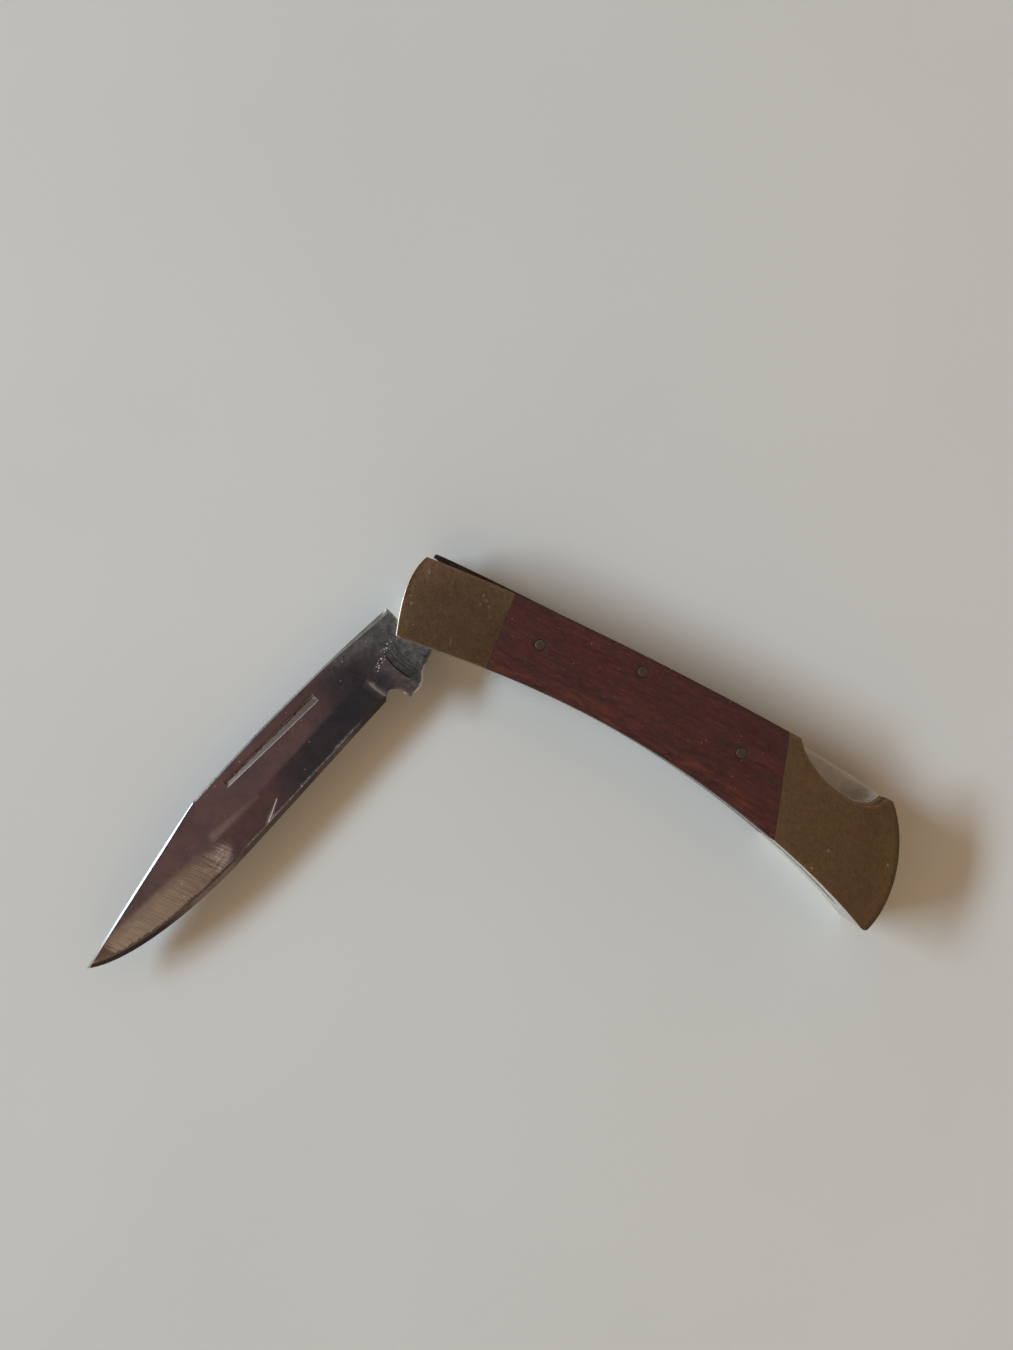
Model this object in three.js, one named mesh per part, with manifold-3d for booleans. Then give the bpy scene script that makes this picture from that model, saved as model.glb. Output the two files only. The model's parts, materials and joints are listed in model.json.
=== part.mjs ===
// Folding pocket knife with a back lock, lying on its side with the blade part of the way open.
// Millimetres, +Z up. The handle is drawn in its side view: x runs from the blade pivot to the rear of the
// handle, y runs to the back (the side of the lock bar), and z is the height above the surface it lies on.
import * as THREE from 'three';
import { mergeVertices } from 'three/addons/utils/BufferGeometryUtils.js';
import Module from 'manifold-3d';

const wasm = await Module();
wasm.setup();

// Layers, from the underside up: slab, liner, channel with the blade and lock bar, liner, slab.
const slabThickness = 4.1;
const linerThickness = 1.2;
const bladeThickness = 2.6;
const sideClearance = 0.1;
const slabEdgeRadius = 0.6;

// Front of the handle.
const frontCornerX = -8.2;
const frontCornerY = 10.75;
const frontHeelInset = 1.65;
const frontDepth = 18.35;
const frontBulge = 2.1;
const frontHeelBulge = 2.7;

// Back of the handle, from the front corner to the thumb notch.
const backRise = 2.2;
const backCrownY = 13.4;
const notchFrontY = 11.85;
const lipRearX = 107.3;

// Thumb notch in the back, and the lip behind it.
const notchLength = 22.1;
const notchDepth = 7.25;
const notchFloorReach = 5.9;
const notchFrontDrop = 3.5;
const lipLength = 2.2;
const lipDrop = 0.85;
const lipY = 8.45;
const lipRise = 0.45;

// Butt and belly.
const buttReach = 7.4;
const buttDrop = 28.3;
const buttBulge = 5.9;
const buttLowBulge = 10.6;
const buttCornerRadius = 1.2;
const waistX = 36;
const waistY = -4.35;
const bellyButtPull = 18.5;
const bellyWaistPull = 30;
const bellyFrontPull = 18;

// Joints between the bolsters and the wooden scales, where they cross the pivot line, and how they lean.
const frontJointX = 13.8;
const frontJointLean = 5.3;
const rearJointInset = 0.95;
const rearJointLean = 18.3;
const jointGap = 0.06;

// Pins, all across the whole handle, their running and seating clearances, and how far they lie from what
// they hold: the front corner, the joints of the scales, the lip and the butt's corner.
const pivotRadius = 1.75;
const stopPinRadius = 1.3;
const smallPinRadius = 1.15;
const spacerPinRadius = 0.8;
const pinFit = 0.05;
const pivotFit = 0.08;
const stopPinInset = 3.2;
const stopPinDrop = 4.25;
const rockerX = 45.2;
const rockerY = 9.4;
const frontScalePinInset = 8.7;
const frontScalePinY = 4.64;
const rearScalePinInset = 11.4;
const rearScalePinY = 3.1;
const springPinInset = 2.1;
const springPinY = 0.3;
const upperSpacerPinPast = 1.1;
const upperSpacerPinDrop = 3.35;
const lowerSpacerPinInset = 1.7;
const lowerSpacerPinRise = 8.35;

// Blade, seen from its own pivot: u runs to the tip, v to the spine.
const bladeRestAngle = -108.04;
const tipPast = 2.8;
const tipV = 1.4;
const shoulderV = 10.1;
const shoulderLean = 0.15;
const spineCrownV = 12.1;
const clipLength = 42.8;
const clipV = 10.45;
const clipHollowV = 6.8;
const bellyLength = 38.6;
const bellyV = -6.25;
const bellyFront = 18.5;
const bellyTipPull = 5.7;
const bellyTipDrop = 4.7;
const heelU = 21.4;
const heelV = -4.3;
const choilU = 19.2;
const choilV = -3.1;
const kickU = 15.6;
const kickV = -7.55;
const kickWidth = 2.6;
const tangEdgeU = 10.9;
const tangEdgeV = -5.4;
const tangRadius = 6;
const tangLowerAngle = 33;
const tangGrooveV = 4.5;

// Grind of the blade.
const plungeU = 19.7;
const plungeWidth = 0.9;
const grindV = 1.9;
const grindTipRise = 1.0;
const grindHollow = 0.2;
const edgeThickness = 0.5;
const tipThickness = 0.8;
const taperLength = 40.1;
const spineBevelWidth = 0.7;
const swedgeWidth = 1.05;
const spineBevelDrop = 0.35;

// Nail nick in the upper face.
const nickFromClip = 7.9;
const nickLength = 27.9;
const nickTopV = 8.85;
const nickHeight = 2.1;
const nickDepth = 0.8;
const nickFootDepth = 0.1;
const nickTilt = 0.7;

// Lock bar, drawn as it lies when it locks the open blade, then rocked up on the tang.
const lockLift = 1.6;
const stopGap = 0.1;
const noseLip = 1.15;
const noseLipY = 10.45;
const noseTopY = 11.05;
const noseChamfer = 0.35;
const noseUndersideGap = 0.25;
const hookWidth = 3;
const hookBottomY = 4.85;
const hookGap = 0.1;
const frontArmY = 6.3;
const rearArmY = 7.1;
const padBottomY = 5.7;
const padInset = 1;
const barCrownFrontY = 12.75;
const barCrownRearY = 12.6;
const barShoulderY = 12.1;
const barRearTopY = 10.4;
const barRearBottomY = 7.2;
const rearEndGap = 0.35;

// Back spring and rear spacer.
const springTipGap = 0.35;
const springTipReach = 11.6;
const springTipHeight = 1.15;
const springRootReach = 5.2;
const springRootRise = 2.5;
const springRootHeight = 5.6;
const springPinGap = 0.3;
const springMidHeight = 1.25;
const tipClearance = 0.6;
const springRootGap = 0.3;

// Heights that follow from the layers.
const channelWidth = bladeThickness + 2 * sideClearance;
const lowerLinerZ = slabThickness;
const channelZ = lowerLinerZ + linerThickness;
const bladeZ = channelZ + sideClearance;
const upperLinerZ = channelZ + channelWidth;
const upperSlabZ = upperLinerZ + linerThickness;
const handleThickness = upperSlabZ + slabThickness;

// Places that follow from the sizes.
const frontHeelX = frontCornerX + frontHeelInset;
const frontHeelY = frontCornerY - frontDepth;
const notchRearX = lipRearX - lipLength;
const notchRearY = lipY - lipDrop;
const notchFrontX = notchRearX - notchLength;
const notchFloorX = notchRearX - notchFloorReach;
const notchFloorY = notchFrontY - notchDepth;
const buttCornerX = lipRearX + buttReach;
const buttCornerY = lipY - buttDrop;
const rearJointX = notchFrontX + rearJointInset;
const stopPinX = frontCornerX + stopPinInset;
const stopPinY = frontCornerY - stopPinDrop;
const frontScalePinX = frontJointX + frontScalePinInset;
const rearScalePinX = rearJointX - rearScalePinInset;
const springPinX = lipRearX - springPinInset;
const upperSpacerPinX = lipRearX + upperSpacerPinPast;
const upperSpacerPinY = lipY - upperSpacerPinDrop;
const lowerSpacerPinX = buttCornerX - lowerSpacerPinInset;
const lowerSpacerPinY = buttCornerY + lowerSpacerPinRise;
const tipU = lipRearX + tipPast;
const clipU = tipU - clipLength;
const bellyU = tipU - bellyLength;
const taperStartU = tipU - taperLength;
const nickEndU = clipU - nickFromClip;
const nickStartU = nickEndU - nickLength;
const padFrontX = notchFrontX + padInset;
const padLength = notchLength;
const springTipX = rockerX + springTipReach;
const springRootFrontX = springPinX - springRootReach;
const springRootTopY = springPinY + springRootRise;
const pocketRearX = tipU + tipClearance;

const far = 4 * tipU;
const pinSides = 20;
const curveSteps = 12;
const radians = THREE.MathUtils.degToRad;

function solidOf(geometry) {
  const bare = geometry.clone();
  bare.deleteAttribute('normal');
  bare.deleteAttribute('uv');
  const merged = mergeVertices(bare, 1e-4);
  return new wasm.Manifold(new wasm.Mesh({
    numProp: 3,
    vertProperties: new Float32Array(merged.attributes.position.array),
    triVerts: new Uint32Array(merged.index.array),
  }));
}

function geometryOf(solid) {
  const mesh = solid.getMesh();
  const geometry = new THREE.BufferGeometry();
  geometry.setAttribute('position', new THREE.BufferAttribute(mesh.vertProperties, 3));
  geometry.setIndex(new THREE.BufferAttribute(mesh.triVerts, 1));
  geometry.computeVertexNormals();
  return geometry;
}

function plate(shape, bottom, thickness) {
  const geometry = new THREE.ExtrudeGeometry(shape, {
    depth: thickness,
    bevelEnabled: false,
    curveSegments: curveSteps,
  });
  return solidOf(geometry.translate(0, 0, bottom));
}

function pinBody(x, y, radius) {
  const geometry = new THREE.CylinderGeometry(radius, radius, handleThickness, pinSides);
  geometry.rotateX(Math.PI / 2);
  return geometry.translate(x, y, handleThickness / 2);
}

function pinHole(x, y, radius) {
  const geometry = new THREE.CylinderGeometry(radius, radius, 3 * handleThickness, pinSides);
  geometry.rotateX(Math.PI / 2);
  return solidOf(geometry.translate(x, y, handleThickness / 2));
}

function block(x0, x1, y0, y1, z0, z1) {
  const geometry = new THREE.BoxGeometry(x1 - x0, y1 - y0, z1 - z0);
  return solidOf(geometry.translate((x0 + x1) / 2, (y0 + y1) / 2, (z0 + z1) / 2));
}

// Height of a curve that runs steadily in x, found by halving.
function heightAt(curve, x) {
  const rising = curve.getPoint(1).x > curve.getPoint(0).x;
  let low = 0;
  let high = 1;
  for (let i = 0; i < 40; i += 1) {
    const middle = (low + high) / 2;
    if (curve.getPoint(middle).x < x === rising) low = middle;
    else high = middle;
  }
  return curve.getPoint(low).y;
}

// Outline that the liners and both slabs share.
function handleOutline() {
  const shape = new THREE.Shape();
  const frontHeight = frontCornerY - frontHeelY;
  shape.moveTo(frontHeelX, frontHeelY);
  shape.bezierCurveTo(
    frontCornerX + (waistX - frontCornerX) / 3, frontHeelY + frontHeight / 12,
    waistX - bellyFrontPull, waistY,
    waistX, waistY,
  );
  shape.bezierCurveTo(
    waistX + bellyWaistPull, waistY,
    buttCornerX - bellyButtPull, buttCornerY + bellyButtPull * 0.44,
    buttCornerX - buttCornerRadius, buttCornerY + buttCornerRadius * 0.1,
  );
  shape.quadraticCurveTo(
    buttCornerX + buttCornerRadius * 0.1, buttCornerY - buttCornerRadius * 0.2,
    buttCornerX + buttCornerRadius * 0.3, buttCornerY + buttCornerRadius,
  );
  shape.bezierCurveTo(
    lipRearX + buttLowBulge, lipY - (lipY - buttCornerY) * 0.62,
    lipRearX + buttBulge, lipY - (lipY - buttCornerY) * 0.18,
    lipRearX, lipY,
  );
  shape.lineTo(notchRearX + lipRise, lipY);
  shape.lineTo(notchRearX, notchRearY);
  shape.bezierCurveTo(
    notchRearX - (notchRearX - notchFloorX) * 0.1, notchFloorY + (notchRearY - notchFloorY) * 0.3,
    notchFloorX + (notchRearX - notchFloorX) * 0.4, notchFloorY,
    notchFloorX, notchFloorY,
  );
  shape.bezierCurveTo(
    notchFloorX - (notchFloorX - notchFrontX) * 0.45, notchFloorY,
    notchFrontX + (notchFloorX - notchFrontX) * 0.16, notchFrontY - notchFrontDrop,
    notchFrontX, notchFrontY,
  );
  shape.bezierCurveTo(
    notchFrontX - (notchFrontX - frontCornerX) * 0.37, backCrownY,
    frontCornerX + (notchFrontX - frontCornerX) * 0.22, frontCornerY + backRise,
    frontCornerX, frontCornerY,
  );
  shape.bezierCurveTo(
    frontCornerX - frontBulge, frontCornerY - frontHeight / 4,
    frontHeelX - frontHeelBulge, frontHeelY + frontHeight * 0.43,
    frontHeelX, frontHeelY,
  );
  return shape;
}

// Slanted cuts at the two joints of each slab.
function jointCut(jointX, lean, side) {
  const shift = Math.tan(radians(lean)) * far;
  const x = jointX + side * jointGap / 2;
  const shape = new THREE.Shape();
  shape.moveTo(x - shift, far);
  shape.lineTo(x + shift, -far);
  shape.lineTo(x + shift + side * 2 * far, -far);
  shape.lineTo(x - shift + side * 2 * far, far);
  shape.closePath();
  return plate(shape, -handleThickness, 3 * handleThickness);
}

// One slab, with its outer edge eased: side 1 is the upper slab, side -1 the lower one.
function slab(side) {
  const depth = 2 * slabThickness;
  const geometry = new THREE.ExtrudeGeometry(handleOutline(), {
    depth,
    bevelEnabled: true,
    bevelThickness: slabEdgeRadius,
    bevelSize: slabEdgeRadius,
    bevelOffset: -slabEdgeRadius,
    bevelSegments: 2,
    curveSegments: curveSteps,
  });
  if (side > 0) geometry.translate(0, 0, handleThickness - depth - slabEdgeRadius);
  else geometry.translate(0, 0, slabEdgeRadius);
  const bottom = side > 0 ? upperSlabZ : -slabThickness;
  const top = side > 0 ? handleThickness + slabThickness : slabThickness;
  return solidOf(geometry).intersect(block(-far, far, -far, far, bottom, top));
}

const pivotHole = pinHole(0, 0, pivotRadius + pinFit);
const stopHole = pinHole(stopPinX, stopPinY, stopPinRadius + pinFit);
const rockerHole = pinHole(rockerX, rockerY, smallPinRadius + pinFit);
const frontScaleHole = pinHole(frontScalePinX, frontScalePinY, smallPinRadius + pinFit);
const rearScaleHole = pinHole(rearScalePinX, rearScalePinY, smallPinRadius + pinFit);
const springHole = pinHole(springPinX, springPinY, smallPinRadius + pinFit);
const upperSpacerHole = pinHole(upperSpacerPinX, upperSpacerPinY, spacerPinRadius + pinFit);
const lowerSpacerHole = pinHole(lowerSpacerPinX, lowerSpacerPinY, smallPinRadius + pinFit);
const frontHoles = pivotHole.add(stopHole);
const scaleHoles = rockerHole.add(frontScaleHole).add(rearScaleHole);
const rearHoles = springHole.add(upperSpacerHole).add(lowerSpacerHole);
const allHoles = frontHoles.add(scaleHoles).add(rearHoles);

const frontPart = jointCut(frontJointX, frontJointLean, -1);
const behindFront = jointCut(frontJointX, frontJointLean, 1);
const beforeRear = jointCut(rearJointX, rearJointLean, -1);
const rearPart = jointCut(rearJointX, rearJointLean, 1);

function liner(bottom) {
  return plate(handleOutline(), bottom, linerThickness).subtract(allHoles);
}

// Side view of the blade, in its own frame with the edge towards +y, so y is -v.
const spineCurve = new THREE.QuadraticBezierCurve(
  new THREE.Vector2(-stopPinX + stopPinRadius + shoulderLean + stopGap / 2, shoulderV),
  new THREE.Vector2((clipU - stopPinX) / 2, spineCrownV),
  new THREE.Vector2(clipU, clipV),
);
const clipCurve = new THREE.QuadraticBezierCurve(
  new THREE.Vector2(clipU, clipV),
  new THREE.Vector2(clipU + (tipU - clipU) * 0.44, clipHollowV),
  new THREE.Vector2(tipU, tipV),
);
const bellyCurve = new THREE.CubicBezierCurve(
  new THREE.Vector2(bellyU, bellyV),
  new THREE.Vector2(bellyU + bellyFront, bellyV),
  new THREE.Vector2(tipU - bellyTipPull, tipV - bellyTipDrop),
  new THREE.Vector2(tipU, tipV),
);

function bladeOutline() {
  const shoulderU = -stopPinX + stopPinRadius + stopGap / 2;
  const start = radians(tangLowerAngle);
  const shape = new THREE.Shape();
  shape.moveTo(shoulderU + shoulderLean, -shoulderV);
  shape.quadraticCurveTo(spineCurve.v1.x, -spineCurve.v1.y, clipU, -clipV);
  shape.quadraticCurveTo(clipCurve.v1.x, -clipCurve.v1.y, tipU, -tipV);
  shape.bezierCurveTo(
    bellyCurve.v2.x, -bellyCurve.v2.y,
    bellyCurve.v1.x, -bellyCurve.v1.y,
    bellyU, -bellyV,
  );
  shape.lineTo(heelU, -heelV);
  shape.quadraticCurveTo((heelU + choilU) / 2, -choilV, choilU, -choilV);
  shape.quadraticCurveTo(kickU + kickWidth * 0.8, -choilV, kickU + kickWidth / 2, -kickV);
  shape.lineTo(kickU - kickWidth / 2, -kickV);
  shape.quadraticCurveTo(
    (kickU - kickWidth / 2 + tangEdgeU) / 2, -kickV,
    tangEdgeU, -tangEdgeV,
  );
  shape.lineTo(tangRadius * Math.cos(start), tangRadius * Math.sin(start));
  shape.absarc(0, 0, tangRadius, start, 1.5 * Math.PI, false);
  shape.lineTo(0, -tangGrooveV);
  shape.lineTo(shoulderU, -tangGrooveV);
  shape.closePath();
  return shape;
}

// Upper half of the blade's section at one place, from beyond the spine to beyond the edge.
function halfSection(u) {
  const spine = u < clipU ? heightAt(spineCurve, u) : heightAt(clipCurve, Math.min(u, tipU));
  const edge = u < bellyU
    ? THREE.MathUtils.mapLinear(u, heelU, bellyU, heelV, bellyV)
    : heightAt(bellyCurve, Math.min(u, tipU));
  const taper = THREE.MathUtils.clamp((u - taperStartU) / (tipU - taperStartU), 0, 1);
  const flat = bladeThickness / 2 + sideClearance;
  const half = THREE.MathUtils.lerp(flat, tipThickness / 2, taper);
  const share = half / flat;
  const grind = grindV + sideClearance * 8 + grindTipRise * taper;
  const swedge = THREE.MathUtils.clamp((u - clipU) / (2 * swedgeWidth), 0, 1);
  const bevel = THREE.MathUtils.lerp(spineBevelWidth, swedgeWidth, swedge);
  const top = Math.min(grind, spine - 1.2 * bevel);
  const foot = Math.min(edge, top - spineBevelWidth);
  const thin = edgeThickness / 2 * share;
  const slope = (half - thin) / (top - foot);
  const hollow = grindHollow * share * (1 - taper);
  const drop = spineBevelDrop / spineBevelWidth * share;
  const beyond = half - drop * (bevel + spineBevelWidth);
  return [
    [spine + spineBevelWidth, beyond],
    [spine - bevel, half],
    [top, half],
    [(top + foot) / 2, (half + thin) / 2 - hollow],
    [foot, thin],
    [foot - 1, thin - slope * share * 0.1],
  ];
}

// Envelope of the ground blade: a thick block over the tang, then one ring for each place.
function grindEnvelope() {
  const rings = [];
  const count = 22;
  const block6 = [far / 8, shoulderV, grindV, 0, heelV, -far / 8];
  const thick = 2 * bladeThickness;
  const blockRing = block6.map((v) => [v, thick]);
  rings.push([-4 * tangRadius, blockRing]);
  rings.push([plungeU, blockRing]);
  for (let i = 0; i <= count; i += 1) {
    const u = plungeU + plungeWidth + (tipU + 1 - plungeU - plungeWidth) * i / count;
    rings.push([u, halfSection(u)]);
  }
  const points = [];
  for (const [u, half] of rings) {
    for (const [v, z] of half) points.push(u, -v, z);
    for (const [v, z] of [...half].reverse()) points.push(u, -v, -z);
  }
  const sides = 12;
  const faces = [];
  for (let r = 0; r < rings.length - 1; r += 1) {
    for (let s = 0; s < sides; s += 1) {
      const a = r * sides + s;
      const b = r * sides + (s + 1) % sides;
      faces.push(a, a + sides, b, b, a + sides, b + sides);
    }
  }
  const last = (rings.length - 1) * sides;
  for (let s = 0; s < sides / 2 - 1; s += 1) {
    const a = s;
    const b = s + 1;
    const c = sides - 2 - s;
    const d = sides - 1 - s;
    faces.push(a, b, d, b, c, d);
    faces.push(last + a, last + d, last + b, last + b, last + d, last + c);
  }
  const geometry = new THREE.BufferGeometry();
  geometry.setAttribute('position', new THREE.Float32BufferAttribute(points, 3));
  geometry.setIndex(faces);
  return geometry;
}

function nailNick() {
  const surface = bladeThickness / 2;
  const shape = new THREE.Shape();
  shape.moveTo(-nickHeight / 2, surface - nickDepth);
  shape.lineTo(nickHeight / 2, surface - nickFootDepth);
  shape.lineTo(nickHeight / 2, surface + nickDepth);
  shape.lineTo(-nickHeight / 2, surface + nickDepth);
  shape.closePath();
  const geometry = new THREE.ExtrudeGeometry(shape, {
    depth: nickLength,
    bevelEnabled: false,
  });
  geometry.rotateX(Math.PI / 2);
  geometry.rotateZ(Math.PI / 2);
  geometry.translate(-nickLength / 2, 0, 0);
  geometry.rotateZ(-radians(nickTilt));
  return geometry.translate((nickStartU + nickEndU) / 2, nickHeight / 2 - nickTopV, 0);
}

function bladeSolid() {
  const body = plate(bladeOutline(), -bladeThickness / 2, bladeThickness);
  const hole = pinHole(0, 0, pivotRadius + pivotFit);
  return body.intersect(solidOf(grindEnvelope())).subtract(hole);
}

// Lock bar, with its nose at the blade's shoulder and its pad in the thumb notch.
function lockBarOutline() {
  const noseX = stopPinX - stopPinRadius + stopGap / 2 - shoulderLean + 2 * stopGap;
  const hookFrontX = -hookWidth - hookGap;
  const noseUndersideY = stopPinY + stopPinRadius + noseUndersideGap;
  const rearX = lipRearX - 2 * lipRise - rearEndGap;
  const padMiddleX = padFrontX + padLength * 0.55;
  const shape = new THREE.Shape();
  shape.moveTo(noseX, noseUndersideY);
  shape.lineTo(hookFrontX, noseUndersideY);
  shape.lineTo(hookFrontX, hookBottomY);
  shape.lineTo(-hookGap, hookBottomY);
  shape.lineTo(hookGap, frontArmY);
  shape.lineTo(rockerX + 3 * smallPinRadius, frontArmY);
  shape.lineTo(rockerX + 8 * smallPinRadius, rearArmY);
  shape.lineTo(padFrontX, rearArmY + 2 * noseUndersideGap);
  shape.quadraticCurveTo(padMiddleX - padLength * 0.2, padBottomY, padMiddleX, padBottomY);
  shape.quadraticCurveTo(padMiddleX + padLength * 0.2, padBottomY, rearX, barRearBottomY);
  shape.lineTo(rearX, barRearTopY);
  shape.quadraticCurveTo(rearX - padLength * 0.35, (barRearTopY + 3 * barShoulderY) / 4,
    notchFrontX, barShoulderY);
  shape.bezierCurveTo(
    notchFrontX - (notchFrontX - noseX) * 0.37, barCrownRearY,
    noseX + (notchFrontX - noseX) * 0.17, barCrownFrontY,
    noseX - noseLip + noseChamfer, noseTopY,
  );
  shape.lineTo(noseX - noseLip, noseTopY - noseChamfer);
  shape.lineTo(noseX - noseLip, noseLipY);
  shape.lineTo(noseX, noseLipY);
  shape.closePath();
  return shape;
}

// Back spring: a root pinned between the liners, and a leaf that reaches forward under the lock bar.
function springOutline() {
  const sag = (x) => (x - rockerX) * Math.sin(radians(lockLift));
  const tipTopY = rearArmY - sag(springTipX) - springTipGap;
  const pinTopY = rearScalePinY + smallPinRadius;
  const leafPinY = pinTopY + springPinGap;
  const rearX = pocketRearX - springRootGap;
  const shape = new THREE.Shape();
  shape.moveTo(springTipX, tipTopY);
  shape.lineTo(springTipX - springTipHeight / 4, tipTopY - springTipHeight / 2);
  shape.lineTo(springTipX, tipTopY - springTipHeight);
  shape.lineTo(rearScalePinX + smallPinRadius, leafPinY);
  shape.quadraticCurveTo(
    rearScalePinX + (springRootFrontX - rearScalePinX) * 0.55, leafPinY,
    springRootFrontX, springRootTopY - springRootHeight,
  );
  shape.lineTo(rearX, springRootTopY - springRootHeight);
  shape.lineTo(rearX, springRootTopY);
  shape.lineTo(springRootFrontX - springRootHeight / 2, springRootTopY);
  shape.quadraticCurveTo(
    springRootFrontX - 1.8 * springRootHeight, springRootTopY,
    rearScalePinX + (springRootFrontX - rearScalePinX) * 0.4, leafPinY + springMidHeight / 2,
  );
  shape.lineTo(rearScalePinX, leafPinY + springMidHeight);
  shape.closePath();
  return shape;
}

// Rear spacer: the end of the channel behind the blade tip, the spring's root and the lock bar.
function spacerSolid() {
  const frontX = lipRearX - 2 * lipRise;
  const body = plate(handleOutline(), channelZ, channelWidth);
  const outside = block(frontX, far, -far, far, -far, far);
  const pocket = block(-far, pocketRearX, -far, springRootTopY + springRootGap, -far, far);
  return body.intersect(outside).subtract(pocket).subtract(upperSpacerHole).subtract(lowerSpacerHole);
}

const brass = { color: 0x8a6c3e, roughness: 0.42, metalness: 1 };
const innerBrass = { color: 0x9a7b47, roughness: 0.5, metalness: 1 };
const wood = { color: 0x5a2b25, roughness: 0.55, metalness: 0 };
const steel = { color: 0x8f8b8f, roughness: 0.25, metalness: 1 };
const darkSteel = { color: 0x6f6a66, roughness: 0.4, metalness: 1 };
const nickel = { color: 0x7c6a5a, roughness: 0.4, metalness: 1 };

const knife = new THREE.Group();

function place(name, geometry, look, parent = knife) {
  const mesh = new THREE.Mesh(geometry, new THREE.MeshStandardMaterial(look));
  mesh.name = name;
  parent.add(mesh);
  return mesh;
}

place('liner_bottom', geometryOf(liner(lowerLinerZ)), innerBrass);
place('liner_top', geometryOf(liner(upperLinerZ)), innerBrass);

for (const [level, side] of [['bottom', -1], ['top', 1]]) {
  const whole = slab(side);
  const front = whole.intersect(frontPart).subtract(frontHoles);
  const middle = whole.intersect(behindFront).intersect(beforeRear).subtract(scaleHoles);
  const rear = whole.intersect(rearPart).subtract(rearHoles);
  place(`front_bolster_${level}`, geometryOf(front), brass);
  place(`scale_${level}`, geometryOf(middle), wood);
  place(`rear_bolster_${level}`, geometryOf(rear), brass);
}

place('rear_spacer', geometryOf(spacerSolid()), innerBrass);
place('back_spring', geometryOf(plate(springOutline(), bladeZ, bladeThickness).subtract(springHole)), darkSteel);
place('pivot_pin', pinBody(0, 0, pivotRadius), brass);
place('stop_pin', pinBody(stopPinX, stopPinY, stopPinRadius), brass);
place('rocker_pin', pinBody(rockerX, rockerY, smallPinRadius), nickel);
place('scale_pin_front', pinBody(frontScalePinX, frontScalePinY, smallPinRadius), nickel);
place('scale_pin_rear', pinBody(rearScalePinX, rearScalePinY, smallPinRadius), nickel);
place('spring_pin', pinBody(springPinX, springPinY, smallPinRadius), brass);
place('spacer_pin_upper', pinBody(upperSpacerPinX, upperSpacerPinY, spacerPinRadius), brass);
place('spacer_pin_lower', pinBody(lowerSpacerPinX, lowerSpacerPinY, smallPinRadius), brass);

const bladeGroup = new THREE.Group();
bladeGroup.position.set(0, 0, bladeZ + bladeThickness / 2);
bladeGroup.rotation.z = radians(bladeRestAngle);
knife.add(bladeGroup);
const nick = solidOf(nailNick());
place('blade', geometryOf(bladeSolid().subtract(nick)), steel, bladeGroup);

const lockGroup = new THREE.Group();
lockGroup.position.set(rockerX, rockerY, 0);
lockGroup.rotation.z = -radians(lockLift);
knife.add(lockGroup);
const lockPlate = plate(lockBarOutline(), bladeZ, bladeThickness)
  .subtract(pinHole(rockerX, rockerY, smallPinRadius + pivotFit));
place('lock_bar', geometryOf(lockPlate).translate(-rockerX, -rockerY, 0), darkSteel, lockGroup);

// The origin is under the middle of the whole knife, on the surface that it lies on.
knife.updateMatrixWorld(true);
const bounds = new THREE.Box3().setFromObject(knife, true);
const middle = bounds.getCenter(new THREE.Vector3());
const group = new THREE.Group();
knife.position.set(-middle.x, -middle.y, -bounds.min.z);
group.add(knife);

export default group;
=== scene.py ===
# Folding pocket knife with a back lock: detailed pieces, materials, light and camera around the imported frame.
import json
import math
import bpy
import bmesh
import numpy as np
from functools import partialmethod
from mathutils import Matrix, Vector, noise
from mathutils.geometry import delaunay_2d_cdt


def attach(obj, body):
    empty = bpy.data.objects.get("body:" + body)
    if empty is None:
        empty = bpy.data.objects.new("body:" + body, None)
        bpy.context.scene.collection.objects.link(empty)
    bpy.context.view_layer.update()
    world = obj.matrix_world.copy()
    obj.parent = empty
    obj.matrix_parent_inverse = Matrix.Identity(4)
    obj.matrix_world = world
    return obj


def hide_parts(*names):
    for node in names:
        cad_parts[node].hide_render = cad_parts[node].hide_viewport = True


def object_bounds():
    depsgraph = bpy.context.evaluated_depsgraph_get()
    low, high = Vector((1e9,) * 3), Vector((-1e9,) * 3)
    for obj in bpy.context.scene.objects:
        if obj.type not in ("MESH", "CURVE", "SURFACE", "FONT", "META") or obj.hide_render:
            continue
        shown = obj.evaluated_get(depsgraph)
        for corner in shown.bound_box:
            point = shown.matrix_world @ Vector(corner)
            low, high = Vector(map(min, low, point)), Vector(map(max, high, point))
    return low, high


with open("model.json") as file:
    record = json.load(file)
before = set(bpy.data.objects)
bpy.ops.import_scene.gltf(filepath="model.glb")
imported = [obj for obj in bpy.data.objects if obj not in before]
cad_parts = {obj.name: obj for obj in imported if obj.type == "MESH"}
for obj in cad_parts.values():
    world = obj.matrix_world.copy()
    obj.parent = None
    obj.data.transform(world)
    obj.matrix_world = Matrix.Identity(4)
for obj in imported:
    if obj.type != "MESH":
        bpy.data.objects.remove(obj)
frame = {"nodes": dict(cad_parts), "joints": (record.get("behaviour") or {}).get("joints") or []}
cad_low, cad_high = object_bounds()

MM = 0.001
THICKNESS = 13.4
SLAB = 4.1
BAR_LOW, BAR_HIGH = 5.4, 8.0
HALF_BLADE = 1.3
SHARP_ANGLE = math.radians(35)

joints = {j["name"]: j for j in frame["joints"]}
PIVOT = Vector(joints["blade_pivot"]["pos_m"])
BLADE_ANGLE = math.radians(-108.04)
LOCK_LIFT = math.radians(1.6)
ROCKER = (45.2, 9.4)
PIVOT_HOLE, ROCKER_HOLE = 1.83, 1.23

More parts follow.
